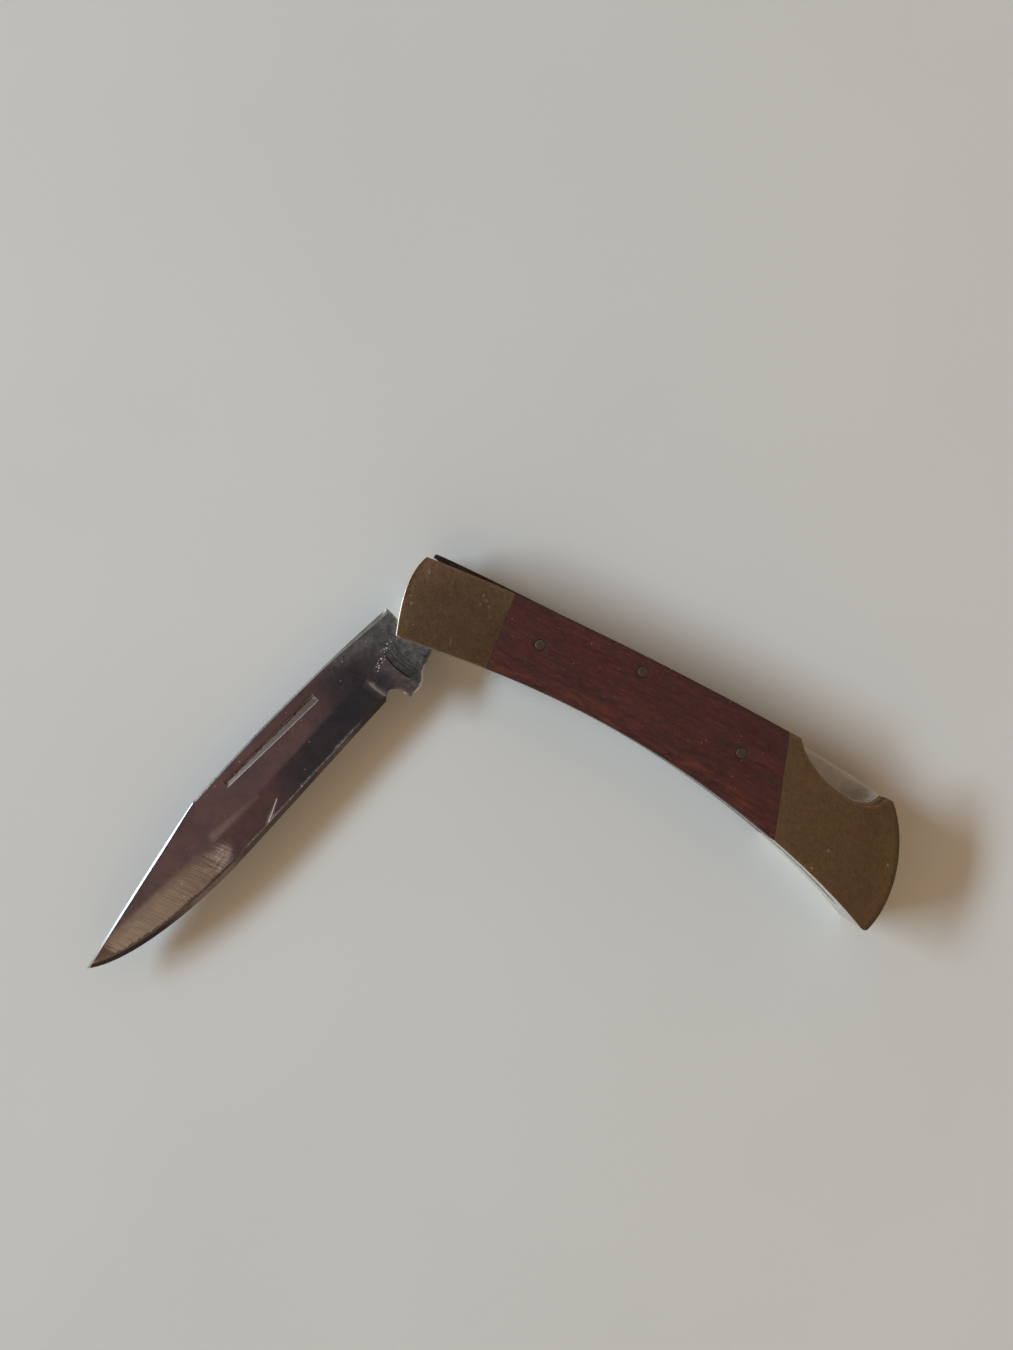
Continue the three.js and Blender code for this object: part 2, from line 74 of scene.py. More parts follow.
# The photograph's axes in the row frame, and its camera.
TURN_COS, TURN_SIN = 0.894996, 0.445308
CAMERA_MATRIX = Matrix((
    (TURN_COS, -0.445460, -0.023390),
    (TURN_SIN, 0.895302, -0.011638),
    (0.026125, 0.000000, 0.999659),
))
CAMERA_PLACE = (-0.026616, 0.038510, 0.2341)
CAMERA_LENS = 27.04


# Outlines, in millimetres, in the handle's own axes: origin at the pivot, x to the rear, y to the back.

# Length of a step along an outline.
STEP = 0.6


def bezier(points, step=STEP):
    p = np.array(points, float)
    length = np.linalg.norm(np.diff(p, axis=0), axis=1).sum()
    t = np.linspace(0, 1, max(2, int(math.ceil(length / step))) + 1)[:-1, None]
    if len(p) == 2:
        return p[0] * (1 - t) + p[1] * t
    if len(p) == 3:
        return p[0] * (1 - t) ** 2 + 2 * p[1] * t * (1 - t) + p[2] * t ** 2
    a, b = (1 - t), t
    return p[0] * a ** 3 + 3 * p[1] * a * a * b + 3 * p[2] * a * b * b + p[3] * b ** 3


def path(start, *legs):
    """Curves one after another. A leg is its step and the points that follow the end of the last one."""
    parts = []
    for step, *points in legs:
        parts.append(bezier((start, *points), step))
        start = points[-1]
    return np.vstack(parts)


def arc(radius, start, end, count=40, centre=(0, 0)):
    a = np.linspace(start, end, count)
    return np.stack([centre[0] + radius * np.cos(a), centre[1] + radius * np.sin(a)], axis=1)


def circle(centre, radius, count=48):
    return arc(radius, 0, 2 * math.pi, count + 1, centre)[:-1]


def handle_outline():
    heel, butt_foot, butt_top, lip = (-6.55, -7.6), (113.5, -19.73), (115.06, -18.65), (107.3, 8.45)
    return path(
        heel,
        (STEP, (6.533, -6.07), (18, -4.35), (36, -4.35)),
        (STEP, (66, -4.35), (96.2, -11.71), butt_foot),
        (STEP, (114.82, -20.09), butt_top),
        (STEP, (117.9, -9.096), (113.2, 3.356), lip),
        (STEP, (105.55, 8.45)),
        (STEP, (105.1, 7.6)),
        (STEP, (104.51, 5.5), (101.56, 4.6), (99.2, 4.6)),
        (STEP, (91.91, 4.6), (85.592, 8.35), (83, 11.85)),
        (STEP, (49.256, 13.4), (11.864, 12.95), (-8.2, 10.75)),
        (STEP, (-10.3, 6.163), (-9.25, 0.29), heel),
    )


def cut(points, kinds, x, lean, side):
    """Keeps the part of an outline on one side of a slanted joint line through (x, 0)."""
    normal = side * np.array([math.cos(math.radians(lean)), math.sin(math.radians(lean))])
    level = (points - np.array([x, 0])) @ normal
    out, out_kinds = [], []
    count = len(points)
    for i in range(count):
        j = (i + 1) % count
        if level[i] >= 0:
            out.append(points[i])
            out_kinds.append(kinds[i])
        if (level[i] >= 0) != (level[j] >= 0):
            share = level[i] / (level[i] - level[j])
            out.append(points[i] + share * (points[j] - points[i]))
            out_kinds.append(1 if level[i] >= 0 else kinds[i])
    return np.array(out), np.array(out_kinds)


def refine(points, kinds, step=STEP):
    """Splits long edges, so that the joint edges carry as many points as the curves."""
    out, out_kinds = [], []
    for i, p in enumerate(points):
        q = points[(i + 1) % len(points)]
        parts = max(1, int(math.ceil(np.linalg.norm(q - p) / step)))
        for k in range(parts):
            out.append(p + (q - p) * k / parts)
            out_kinds.append(kinds[i])
    return np.array(out), np.array(out_kinds)


def inset(points, distance):
    """The outline moved inwards by a distance, with its corners mitred."""
    edge = np.roll(points, -1, axis=0) - points
    edge /= np.maximum(np.linalg.norm(edge, axis=1, keepdims=True), 1e-9)
    normal = np.stack([-edge[:, 1], edge[:, 0]], axis=1)
    both = normal + np.roll(normal, 1, axis=0)
    both /= np.maximum(np.linalg.norm(both, axis=1, keepdims=True), 1e-9)
    reach = np.maximum((both * normal).sum(axis=1, keepdims=True), 0.5)
    return points + both / reach * distance


def edge_distance(at, points, kinds=None, kind=None):
    """Distance from each place to the outline's edges of one kind."""
    a = points
    b = np.roll(points, -1, axis=0)
    if kinds is not None:
        a, b = a[kinds == kind], b[kinds == kind]
    if len(a) == 0:
        return np.full(len(at), 1e3)
    best = np.full(len(at), 1e6)
    for p, q in zip(a, b):
        d = q - p
        t = np.clip(((at - p) @ d) / max(d @ d, 1e-12), 0, 1)
        gap = at - (p + t[:, None] * d)
        best = np.minimum(best, (gap * gap).sum(axis=1))
    return np.sqrt(best)


def inside(at, loop):
    """Which places lie inside a closed loop."""
    x, y = at[:, 0], at[:, 1]
    hit = np.zeros(len(at), bool)
    a, b = loop, np.roll(loop, -1, axis=0)
    for (x0, y0), (x1, y1) in zip(a, b):
        if y0 == y1:
            continue
        crosses = ((y0 > y) != (y1 > y)) & (x < (x1 - x0) * (y - y0) / (y1 - y0) + x0)
        hit ^= crosses
    return hit


def ease(distance, radius):
    """How far a rounded edge drops below the face, at a distance from the edge."""
    t = np.clip(radius - distance, 0, radius)
    return radius - np.sqrt(np.maximum(radius * radius - t * t, 0))


def smooth(low, high, value):
    t = np.clip((value - low) / (high - low), 0, 1)
    return t * t * (3 - 2 * t)


def rumple(at, scale, seed):
    """Smooth noise between -1 and 1 at each place."""
    return np.array([noise.noise(Vector((p[0] * scale, p[1] * scale, seed))) for p in at])


def triangulate(outer, holes, lines, spacing, seed):
    """Triangles of a flat region with extra lines kept as edges and a grid of points inside."""
    points, edges = [], []

    def add(loop, closed=True):
        start = len(points)
        points.extend(loop)
        last = len(loop) if closed else len(loop) - 1
        edges.extend((start + i, start + (i + 1) % len(loop)) for i in range(last))

    add(outer)
    for hole in holes:
        add(hole)
    for line, closed in lines:
        add(line, closed)
    low, high = outer.min(axis=0), outer.max(axis=0)
    rows = np.arange(low[1], high[1], spacing * 0.87)
    grid = []
    for i, y in enumerate(rows):
        xs = np.arange(low[0] + (i % 2) * spacing / 2, high[0], spacing)
        grid.extend((x, y) for x in xs)
    grid = np.array(grid)
    keep = inside(grid, outer)
    for hole in holes:
        keep &= ~inside(grid, hole)
    grid = grid[keep]
    fixed = np.array(points)
    cells = {}
    for p in fixed:
        cells.setdefault((int(p[0] // spacing), int(p[1] // spacing)), []).append(p)
    near = (0.55 * spacing) ** 2
    free = []
    for g in grid:
        cx, cy = int(g[0] // spacing), int(g[1] // spacing)
        close = False
        for dx in (-1, 0, 1):
            for dy in (-1, 0, 1):
                for p in cells.get((cx + dx, cy + dy), ()):
                    if (p[0] - g[0]) ** 2 + (p[1] - g[1]) ** 2 < near:
                        close = True
        if not close:
            free.append(g)
    points.extend(free)
    verts, _, faces, *_ = delaunay_2d_cdt([Vector(p) for p in points], edges, [], 0, 1e-5)
    verts = np.array([tuple(v) for v in verts])
    faces = np.array([f for f in faces if len(f) == 3])
    middle = verts[faces].mean(axis=1)
    keep = inside(middle, outer)
    for hole in holes:
        keep &= ~inside(middle, hole)
    faces = faces[keep]
    a, b, c = (verts[faces[:, k]] for k in range(3))
    area = (b[:, 0] - a[:, 0]) * (c[:, 1] - a[:, 1]) - (b[:, 1] - a[:, 1]) * (c[:, 0] - a[:, 0])
    faces = faces[np.abs(area) > 1e-9]
    area = area[np.abs(area) > 1e-9]
    faces[area < 0] = faces[area < 0][:, ::-1]
    used = np.unique(faces)
    renumber = np.full(len(verts), -1)
    renumber[used] = np.arange(len(used))
    return verts[used], renumber[faces]


def solid_piece(name, flat, faces, top, bottom, to_row, materials, attributes, face_material=None):
    """A closed piece from one flat triangulation, with a height for its top and one for its bottom."""
    count = len(flat)
    verts = np.zeros((2 * count, 3))
    verts[:count, :2] = verts[count:, :2] = flat
    verts[:count, 2] = top
    verts[count:, 2] = bottom
    seen = {}
    for f in faces:
        for k in range(3):
            seen[(f[k], f[(k + 1) % 3])] = True
    sides = [(a, b) for a, b in seen if (b, a) not in seen]
    all_faces = [tuple(f) for f in faces] + [tuple(f[::-1] + count) for f in faces]
    all_faces += [(b, a, a + count, b + count) for a, b in sides]
    mesh = bpy.data.meshes.new(name)
    mesh.from_pydata([to_row(v) for v in verts], [], [tuple(int(i) for i in f) for f in all_faces])
    for m in materials:
        mesh.materials.append(m)
    for key, values in attributes.items():
        above, below = values if isinstance(values, tuple) else (values, values)
        layer = mesh.attributes.new(key, "FLOAT", "POINT")
        layer.data.foreach_set("value", np.concatenate([above, below]).astype(np.float32))
    if face_material is not None:
        index = np.zeros(len(all_faces), dtype=np.int32)
        index[:len(faces)] = index[len(faces):2 * len(faces)] = face_material
        mesh.polygons.foreach_set("material_index", index)
    mesh.update()
    mesh.shade_smooth()
    mesh.set_sharp_from_angle(angle=SHARP_ANGLE)
    return add_object(name, mesh)


def add_object(name, data):
    obj = bpy.data.objects.new(name, data)
    bpy.context.scene.collection.objects.link(obj)
    return obj


def in_box(x, y, z):
    """A place in the row frame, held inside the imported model's box."""
    return tuple(min(max(value, low), high) for value, low, high in zip((x, y, z), cad_low, cad_high))


def handle_to_row(point):
    return in_box(PIVOT.x + point[0] * MM, PIVOT.y + point[1] * MM, point[2] * MM)


def under_to_row(point):
    """The same place on the underside: mirrored through the middle of the thickness."""
    return handle_to_row((point[0], point[1], THICKNESS - point[2]))


def blade_to_row(point):
    """From the blade's own u, v and height above its middle to the row frame."""
    u, v, z = point[0], -point[1], point[2]
    c, s = math.cos(BLADE_ANGLE), math.sin(BLADE_ANGLE)
    return in_box(PIVOT.x + (u * c - v * s) * MM, PIVOT.y + (u * s + v * c) * MM, PIVOT.z + z * MM)


def flip(obj):
    """Turns the faces of a mirrored piece right side out."""
    bm = bmesh.new()
    bm.from_mesh(obj.data)
    bmesh.ops.reverse_faces(bm, faces=bm.faces[:])
    bm.to_mesh(obj.data)
    bm.free()
    obj.data.set_sharp_from_angle(angle=SHARP_ANGLE)


def crease_between_materials(mesh):
    """Keeps the line sharp where two finishes of one piece meet."""
    kinds = {}
    for face in mesh.polygons:
        for key in face.edge_keys:
            kinds.setdefault(key, set()).add(face.material_index)
    sharp = mesh.attributes.get("sharp_edge") or mesh.attributes.new("sharp_edge", "BOOLEAN", "EDGE")
    for i, edge in enumerate(mesh.edges):
        if len(kinds[tuple(sorted(edge.vertices))]) > 1:
            sharp.data[i].value = True


# Node graphs.

class Graph:
    def __init__(self, tree):
        self.tree = tree
        self.tree.nodes.clear()
        self.colour = self.roughness = self.normal = None

    def node(self, kind, inputs=None, out=0, **settings):
        made = self.tree.nodes.new("ShaderNode" + kind)
        for key, value in settings.items():
            setattr(made, key, value)
        for key, value in (inputs or {}).items():
            socket = made.inputs[key]
            if isinstance(value, bpy.types.NodeSocket):
                self.tree.links.new(value, socket)
            else:
                socket.default_value = value
        return made.outputs[out] if len(made.outputs) else None

    def object_space(self, angle=0.0, scale=(1, 1, 1), origin=(0, 0, 0)):
        """Row-frame place in millimetres, turned so that x runs along the angle, then scaled."""
        at = self.node("TexCoord", out=3)
        at = self.node("VectorMath", {0: at, 1: tuple(origin)}, operation="SUBTRACT")
        at = self.node("VectorMath", {0: at, "Scale": 1000.0}, operation="SCALE")
        at = self.node("VectorRotate", {"Vector": at, "Angle": -angle}, rotation_type="Z_AXIS")
        return self.node("VectorMath", {0: at, 1: tuple(scale)}, operation="MULTIPLY")

    def noise(self, at, scale, detail=3.0, rough=0.55, warp=0.0, out=0):
        return self.node("TexNoise", {
            "Vector": at, "Scale": scale, "Detail": detail, "Roughness": rough, "Distortion": warp}, out=out)

    def ramp(self, value, *stops):
        made = self.tree.nodes.new("ShaderNodeValToRGB")
        self.tree.links.new(value, made.inputs[0])
        band = made.color_ramp
        while len(band.elements) < len(stops):
            band.elements.new(0.5)
        for element, (place, colour) in zip(band.elements, stops):
            element.position = place
            shade = colour if isinstance(colour, (tuple, list)) else (colour,) * 3
            element.color = (*shade, 1)
        return made.outputs[0]

    def span(self, value, low, high, to_low=0.0, to_high=1.0):
        return self.node("MapRange", {
            0: value, 1: low, 2: high, 3: to_low, 4: to_high}, interpolation_type="SMOOTHSTEP")

    def math(self, operation, a, b=0.0):
        return self.node("Math", {0: a, 1: b}, operation=operation)

    times = partialmethod(math, "MULTIPLY")
    plus = partialmethod(math, "ADD")
    minus = partialmethod(math, "SUBTRACT")
    larger = partialmethod(math, "MAXIMUM")

    def more(self, value, share, amount):
        return self.plus(value, self.times(share, amount))

    def ragged(self, value, uneven, amount):
        """A value made uneven by noise that lies round one half."""
        return self.plus(value, self.times(self.minus(uneven, 0.5), amount))

    def scaled(self, at, factors):
        return self.node("VectorMath", {0: at, 1: factors}, operation="MULTIPLY")

    def cells(self, at, scale):
        return self.node("TexVoronoi", {"Vector": at, "Scale": scale, "Randomness": 1.0})

    def over(self, share, other, mode="MIX"):
        self.colour = self.blend(share, self.colour, other, mode)

    def tint(self, share, amount, other):
        self.over(self.times(share, amount), other)

    def shade(self, share, value, dark, light, low=0.30):
        """Darker where the value is low and lighter where it is high."""
        mottled = self.ramp(value, (low, dark), (0.50, 1.0), (0.72, light))
        self.over(share, mottled, "MULTIPLY")

    def rougher(self, share, amount):
        self.roughness = self.more(self.roughness, share, amount)

    def blend(self, share, a, b, mode="MIX"):
        made = self.tree.nodes.new("ShaderNodeMix")
        made.data_type = "RGBA"
        made.blend_type = mode
        for index, value in ((0, share), (6, a), (7, b)):
            socket = made.inputs[index]
            if isinstance(value, bpy.types.NodeSocket):
                self.tree.links.new(value, socket)
            elif index == 0:
                socket.default_value = value
            else:
                socket.default_value = (*value, 1)
        return made.outputs[2]

    def attribute(self, name):
        return self.node("Attribute", out=2, attribute_name=name)

    def bump(self, height, depth):
        """Raises the surface on top of the bumps it already has, by a depth in millimetres."""
        inputs = {"Height": height, "Strength": 1.0, "Distance": depth * MM}
        if self.normal is not None:
            inputs["Normal"] = self.normal
        self.normal = self.node("Bump", inputs)

    def surface(self, metallic=0.0, specular=0.5):
        self.node("OutputMaterial", {0: self.node("BsdfPrincipled", {
            "Base Color": self.colour, "Roughness": self.roughness, "Metallic": metallic,
            "Specular IOR Level": specular, "Normal": self.normal})})


def material(name):
    made = bpy.data.materials.new(name)
    made.use_nodes = True
    return made, Graph(made.node_tree)


IMAGE_TURN = math.atan2(TURN_SIN, TURN_COS)
UPRIGHT = IMAGE_TURN + math.pi / 2
# Rubbed rings on the tang: radius, half width and strength.
ARCS = ((14.5, 0.26, 1.0), (13.9, 0.10, 0.5), (13.2, 0.14, 0.5), (12.4, 0.12, 0.4), (11.5, 0.12, 0.35),
        (15.3, 0.10, 0.4), (16.0, 0.08, 0.35))


def scratches(g, angle, width, length, low, high, seed, warp=0.4):
    """Short strokes along one direction: 1 on a stroke, 0 elsewhere."""
    at = g.object_space(angle, (1 / length, 1 / width, 1 / length), (seed * 0.01, seed * 0.013, 0))
    streak = g.noise(at, 1.0, 2.0, 0.6, warp)
    return g.span(streak, low, high)


def brass_material(name, dark, mid, gold, seed, rough=0.33, patches=()):
    """Brass handled for years: an olive-brown tarnish, copper tints and fine upright scratches."""
    made, g = material(name)
    at = g.object_space(0, (1, 1, 1), (seed * 0.011, 0, 0))
    cloud = g.noise(at, 0.09, 3.0, 0.55, 0.4)
    mottle = g.noise(at, 0.7, 5.0, 0.65, 0.3)
    fine = g.noise(at, 2.2, 5.0, 0.75)
    tint = g.noise(at, 0.17, 3.0, 0.6, 0.6)
    brushed = g.noise(g.object_space(UPRIGHT, (0.35, 5.0, 1.0)), 1.0, 4.0, 0.7)
    g.colour = g.ramp(cloud, (0.30, dark), (0.52, mid), (0.75, gold))
    g.over(g.span(tint, 0.52, 0.70, 0, 0.45), (mid[0] * 1.10, mid[1] * 0.90, mid[2] * 0.80))
    g.shade(0.42, mottle, 0.74, 1.26)
    g.shade(0.40, fine, 0.66, 1.34)
    g.shade(0.50, brushed, 0.76, 1.24)
    # Painted light and shade: the bolsters lighter on the side towards the window.
    g.over(1.0, g.plus(g.attribute("tone_with_painted_light"), 1.0), "MULTIPLY")
    # Painted reflection: the side walls along the belly made pale, as if reflecting the bright table.
    facing = g.node("SeparateXYZ", {0: g.node("NewGeometry", out=1)}, out=2)
    wall = g.times(g.span(g.math("ABSOLUTE", facing), 0.45, 0.12), g.attribute("side_wall_painted_reflection"))
    g.tint(wall, 0.8, (0.80, 0.76, 0.66))
    # Painted shade on the rims and in the joints round the pins.
    painted_rim = g.times(g.attribute("painted_rim_and_ring_shade"), g.minus(1.0, wall))
    painted_rim = g.times(painted_rim, g.span(mottle, 0.25, 0.6, 0.65, 1.0))
    g.tint(painted_rim, 0.90, tuple(c * 0.16 for c in dark))
    # Painted highlight on the rounded front end, which faces the window.
    painted_highlight = g.attribute("painted_highlight")
    g.over(painted_highlight, (0.90, 0.80, 0.60))
    long = scratches(g, UPRIGHT + 0.05, 0.13, 3.4, 0.68, 0.76, seed)
    short = scratches(g, UPRIGHT - 0.16, 0.15, 1.3, 0.69, 0.77, seed + 3)
    cross = scratches(g, IMAGE_TURN + 0.45, 0.11, 2.4, 0.72, 0.80, seed + 7)
    marks = g.larger(long, g.larger(short, cross))
    mark_colour = tuple(min(1, c * 1.6) for c in gold)
    g.tint(marks, 0.42, mark_colour)
    g.bump(g.noise(at, 0.3, 2.0, 0.5), 0.006)
    g.bump(fine, 0.0011)
    g.bump(marks, -0.0022)
    specks = g.cells(at, 0.62)
    speck = g.times(g.span(specks, 0.085, 0.04), g.span(fine, 0.45, 0.55))
    g.tint(speck, 0.5, mark_colour)
    g.bump(speck, -0.006)
    for place, radius, stretch in patches:
        near = g.object_space(UPRIGHT, (1 / stretch, 1, 0), place)
        reach = g.node("VectorMath", {0: near}, out=1, operation="LENGTH")
        reach = g.ragged(reach, mottle, radius * 1.8)
        spot = g.span(reach, radius, radius * 0.25)
        crumbs = g.times(spot, g.span(g.noise(at, 1.9, 4.0, 0.75), 0.38, 0.54))
        g.tint(crumbs, 0.75, (0.66, 0.60, 0.50))
        g.bump(crumbs, 0.010)
    g.roughness = g.span(cloud, 0.3, 0.7, rough + 0.04, rough - 0.03)
    g.roughness = g.ragged(g.roughness, fine, 0.16)
    g.rougher(painted_rim, 0.18)
    g.rougher(painted_highlight, 0.15)
    g.surface(1.0)
    return made


def wood_material(name, seed):
    """Red-brown hardwood: faint fibres, dark greenish streaks and orange ones towards the belly."""
    made, g = material(name)
    at = g.object_space(math.radians(-1.6), (1, 1, 1), (seed * 0.02, 0, seed * 0.01))
    bend = g.noise(g.scaled(at, (0.04, 0.09, 0.08)), 1.0, 2.0, 0.5)
    shift = g.node("CombineXYZ", {"Y": g.times(g.minus(bend, 0.5), 2.4)})
    grained = g.node("VectorMath", {0: at, 1: shift}, operation="ADD")

    def along(x, y, z):
        return g.scaled(grained, (x, y, z))

    zones = g.noise(along(0.045, 0.22, 0.2), 1.0, 3.0, 0.55, 0.3)
    fibres = g.noise(along(0.14, 1.9, 1.6), 1.0, 4.0, 0.68, 0.4)
    threads = g.noise(along(0.45, 6.0, 4.0), 1.0, 3.0, 0.65, 0.2)
    blotch = g.noise(along(0.075, 0.50, 0.3), 1.0, 4.0, 0.60, 0.5)
    mottle = g.noise(along(0.50, 0.80, 1.0), 1.0, 5.0, 0.72, 0.8)
    grit = g.noise(at, 4.2, 3.0, 0.65)
    crimson = g.noise(along(0.12, 0.38, 0.4), 1.0, 3.0, 0.6, 0.4)
    g.colour = g.ramp(zones, (0.32, (0.0325, 0.0086, 0.0076)), (0.50, (0.0420, 0.0106, 0.0088)),
                    (0.68, (0.0500, 0.0127, 0.0092)))
    g.over(g.span(crimson, 0.50, 0.68, 0, 0.55), (0.054, 0.0100, 0.0102))
    g.shade(0.34, fibres, 0.62, 1.42, 0.28)
    g.shade(1.0, mottle, 0.62, 1.44)
    g.shade(0.45, threads, 0.70, 1.30)
    g.shade(0.75, grit, 0.66, 1.36)
    g.over(g.span(blotch, 0.53, 0.68, 0, 0.75), (0.020, 0.0120, 0.0088))
    violet = g.noise(along(0.22, 0.45, 0.4), 1.0, 4.0, 0.65, 0.6)
    g.over(g.span(violet, 0.56, 0.68, 0, 0.55), (0.030, 0.0118, 0.0140))
    belly = g.attribute("belly")
    flame = g.noise(along(0.13, 0.8, 0.6), 1.0, 4.0, 0.65, 0.5)
    flame = g.times(g.plus(g.times(belly, 0.85), 0.15), g.span(flame, 0.48, 0.62))
    g.tint(flame, 0.62, (0.105, 0.0255, 0.0090))
    pores = g.noise(along(0.7, 7.5, 6.0), 1.0, 2.0, 0.5, 0.2)
    pore = g.span(pores, 0.68, 0.76)
    g.tint(pore, 0.50, (0.012, 0.0060, 0.0060))
    # Painted shade towards the edges and in the joints round the pins.
    painted_rim_and_ring_shade = g.attribute("painted_rim_and_ring_shade")
    g.tint(g.times(painted_rim_and_ring_shade, painted_rim_and_ring_shade), 0.75, (0.014, 0.007, 0.006))
    specks = g.cells(at, 0.55)
    speck = g.times(g.span(specks, 0.10, 0.04), g.span(mottle, 0.47, 0.55))
    g.tint(speck, 0.60, (0.24, 0.16, 0.14))
    height = g.plus(g.times(threads, 0.4), g.times(fibres, 0.6))
    g.bump(height, 0.018)
    g.bump(pore, -0.014)
    scuffs = scratches(g, math.radians(-14), 0.10, 2.2, 0.70, 0.80, seed + 5)
    g.bump(scuffs, -0.006)
    g.tint(scuffs, 0.30, (0.16, 0.085, 0.065))
    g.roughness = g.span(fibres, 0.3, 0.7, 0.46, 0.58)
    g.surface(specular=0.32)
    return made


def steel_material(name, base, rough, seed):
    """Polished blade steel: a hazy rubbed tang, dust and pits, and coarser grinding towards the tip."""
    made, g = material(name)
    at = g.object_space(BLADE_ANGLE, (1, 1, 1), PIVOT)
    flat_at = g.scaled(at, (1, 1, 0))
    cloud = g.noise(at, 0.12, 3.0, 0.55, 0.5)
    grime = g.noise(at, 1.3, 5.0, 0.7)
    dust = g.noise(at, 6.0, 3.0, 0.6)
    tang, ground, patch = g.attribute("tang"), g.attribute("ground"), g.attribute("patch")

    warm, cool = (base[0] * 1.08, base[1], base[2]), (base[0] * 0.86, base[1] * 0.88, base[2] * 0.92)
    g.colour = g.blend(g.span(cloud, 0.36, 0.64), warm, cool)
    g.over(g.span(grime, 0.5, 0.8, 0, 0.2), tuple(c * 0.62 for c in base))
    g.tint(tang, 0.9, (0.43, 0.470, 0.465))
    smudge = g.ramp(g.noise(at, 0.34, 5.0, 0.66, 0.5), (0.34, 0.55), (0.50, 1.0), (0.66, 1.40))
    g.over(g.span(tang, 0, 1, 0.22, 0.8), smudge, "MULTIPLY")
    along = scratches(g, BLADE_ANGLE + 0.03, 0.05, 9.0, 0.64, 0.80, seed)
    across = scratches(g, IMAGE_TURN - 0.47, 0.06, 2.0, 0.70, 0.80, seed + 2)
    marks = g.larger(along, across)
    g.bump(g.noise(at, 0.22, 2.0, 0.5), 0.006)
    g.bump(g.noise(at, 0.9, 4.0, 0.6), 0.0016)
    g.bump(marks, -0.0006)
    g.roughness = g.span(grime, 0.3, 0.75, rough - 0.03, rough + 0.05)
    g.rougher(marks, 0.05)

    # Dust, pits and the haze of the tang are a thin pale layer on the metal; painted highlights further down
    # join the same layer.
    specks = g.cells(at, 0.55)
    speck = g.times(g.span(specks, 0.09, 0.04), g.span(g.noise(at, 0.7, 2.0), 0.48, 0.54))
    grains = g.cells(at, 1.9)
    pits = g.times(g.span(grains, 0.42, 0.26), g.attribute("pits"))
    pitted = g.larger(g.times(speck, 0.65), pits)
    g.bump(pitted, -0.012)
    haze_and_painted_highlight = g.times(tang, g.span(g.noise(at, 0.75, 5.0, 0.78, 0.3), 0.36, 0.64, 0.30, 1.40))
    haze_and_painted_highlight = g.plus(g.times(haze_and_painted_highlight, 0.052), g.times(g.span(dust, 0.45, 0.8), 0.014))
    haze_and_painted_highlight = g.more(haze_and_painted_highlight, pitted, 0.60)
    g.rougher(tang, 0.11)

    # Rings that the kick and the lock have rubbed round the pivot.
    reach = g.node("VectorMath", {0: flat_at}, out=1, operation="LENGTH")
    reach = g.ragged(reach, g.noise(at, 0.9, 3.0, 0.6), 0.35)
    arcs = 0.0
    for radius, width, strength in ARCS:
        away = g.math("ABSOLUTE", g.minus(reach, radius))
        arcs = g.larger(arcs, g.times(g.span(away, width, width * 0.3), strength))
    kick = g.attribute("kick")
    arcs = g.times(arcs, g.attribute("arc"))
    g.tint(arcs, 0.85, (0.05, 0.05, 0.05))
    haze_and_painted_highlight = g.times(haze_and_painted_highlight, g.minus(1.0, g.times(arcs, 0.9)))
    outer = g.times(kick, g.span(reach, ARCS[0][0], ARCS[0][0] + 0.5))
    g.tint(outer, 0.20, (0.80, 0.64, 0.54))
    g.rougher(outer, 0.05)
    g.bump(arcs, -0.0015)

    # Grinding marks: across the blade towards the tip, along it in the patch behind them.
    cross = scratches(g, IMAGE_TURN - 0.47, 0.30, 6.5, 0.34, 0.66, seed + 11, 0.15)
    deep = scratches(g, IMAGE_TURN - 0.44, 0.26, 5.0, 0.56, 0.68, seed + 17, 0.12)
    lengthwise = scratches(g, BLADE_ANGLE + 0.10, 0.34, 3.2, 0.38, 0.62, seed + 13, 0.12)

    def combed(value, strokes, reach, low, high):
        """An attribute whose soft border breaks up into the teeth of the strokes."""
        return g.span(g.ragged(value, strokes, reach), low, high)

    ground = combed(ground, cross, 0.42, 0.18, 0.82)
    patch = combed(patch, cross, 0.40, 0.15, 0.80)
    g.bump(g.times(ground, cross), 0.0030)
    g.bump(g.times(patch, lengthwise), 0.0075)
    g.rougher(ground, 0.08)
    g.rougher(patch, 0.13)
    g.tint(ground, 0.55, (0.74, 0.71, 0.64))
    g.over(ground, g.ramp(cross, (0.0, 0.88), (1.0, 1.08)), "MULTIPLY")
    g.tint(g.times(ground, deep), 0.28, (0.30, 0.26, 0.24))
    g.over(g.times(patch, g.span(lengthwise, 0.1, 0.9, 0.20, 1.0)), (0.98, 0.95, 0.98))
    g.over(g.times(kick, g.span(deep, 0, 1, 0, 0.45)), (0.26, 0.20, 0.20))
    streak = g.times(g.attribute("streak"), g.span(cross, 0, 1, 0.60, 1.0))
    g.rougher(g.attribute("streak"), 0.06)
    g.tint(streak, 0.7, (0.92, 0.88, 0.88))
    # Painted shade along the top of the edge bevel and the clip's back line; also darker towards the tip.
    band = combed(g.attribute("band"), cross, 0.5, 0.25, 0.70)
    g.tint(band, 0.82, (0.165, 0.135, 0.130))
    # Painted light at the plunge: the metal darkened, and a pale layer for its soft highlight.
    plunge_painted_light = g.attribute("plunge_painted_light")
    g.tint(plunge_painted_light, 0.94, (0.070, 0.076, 0.098))
    g.rougher(plunge_painted_light, 0.12)
    haze_and_painted_highlight = g.more(haze_and_painted_highlight, plunge_painted_light, 0.10)
    # Painted highlight: a pale line along the top of the edge bevel.
    haze_and_painted_highlight = g.plus(haze_and_painted_highlight, g.times(g.attribute("glint"), g.span(grime, 0.38, 0.58, 0.12, 0.30)))
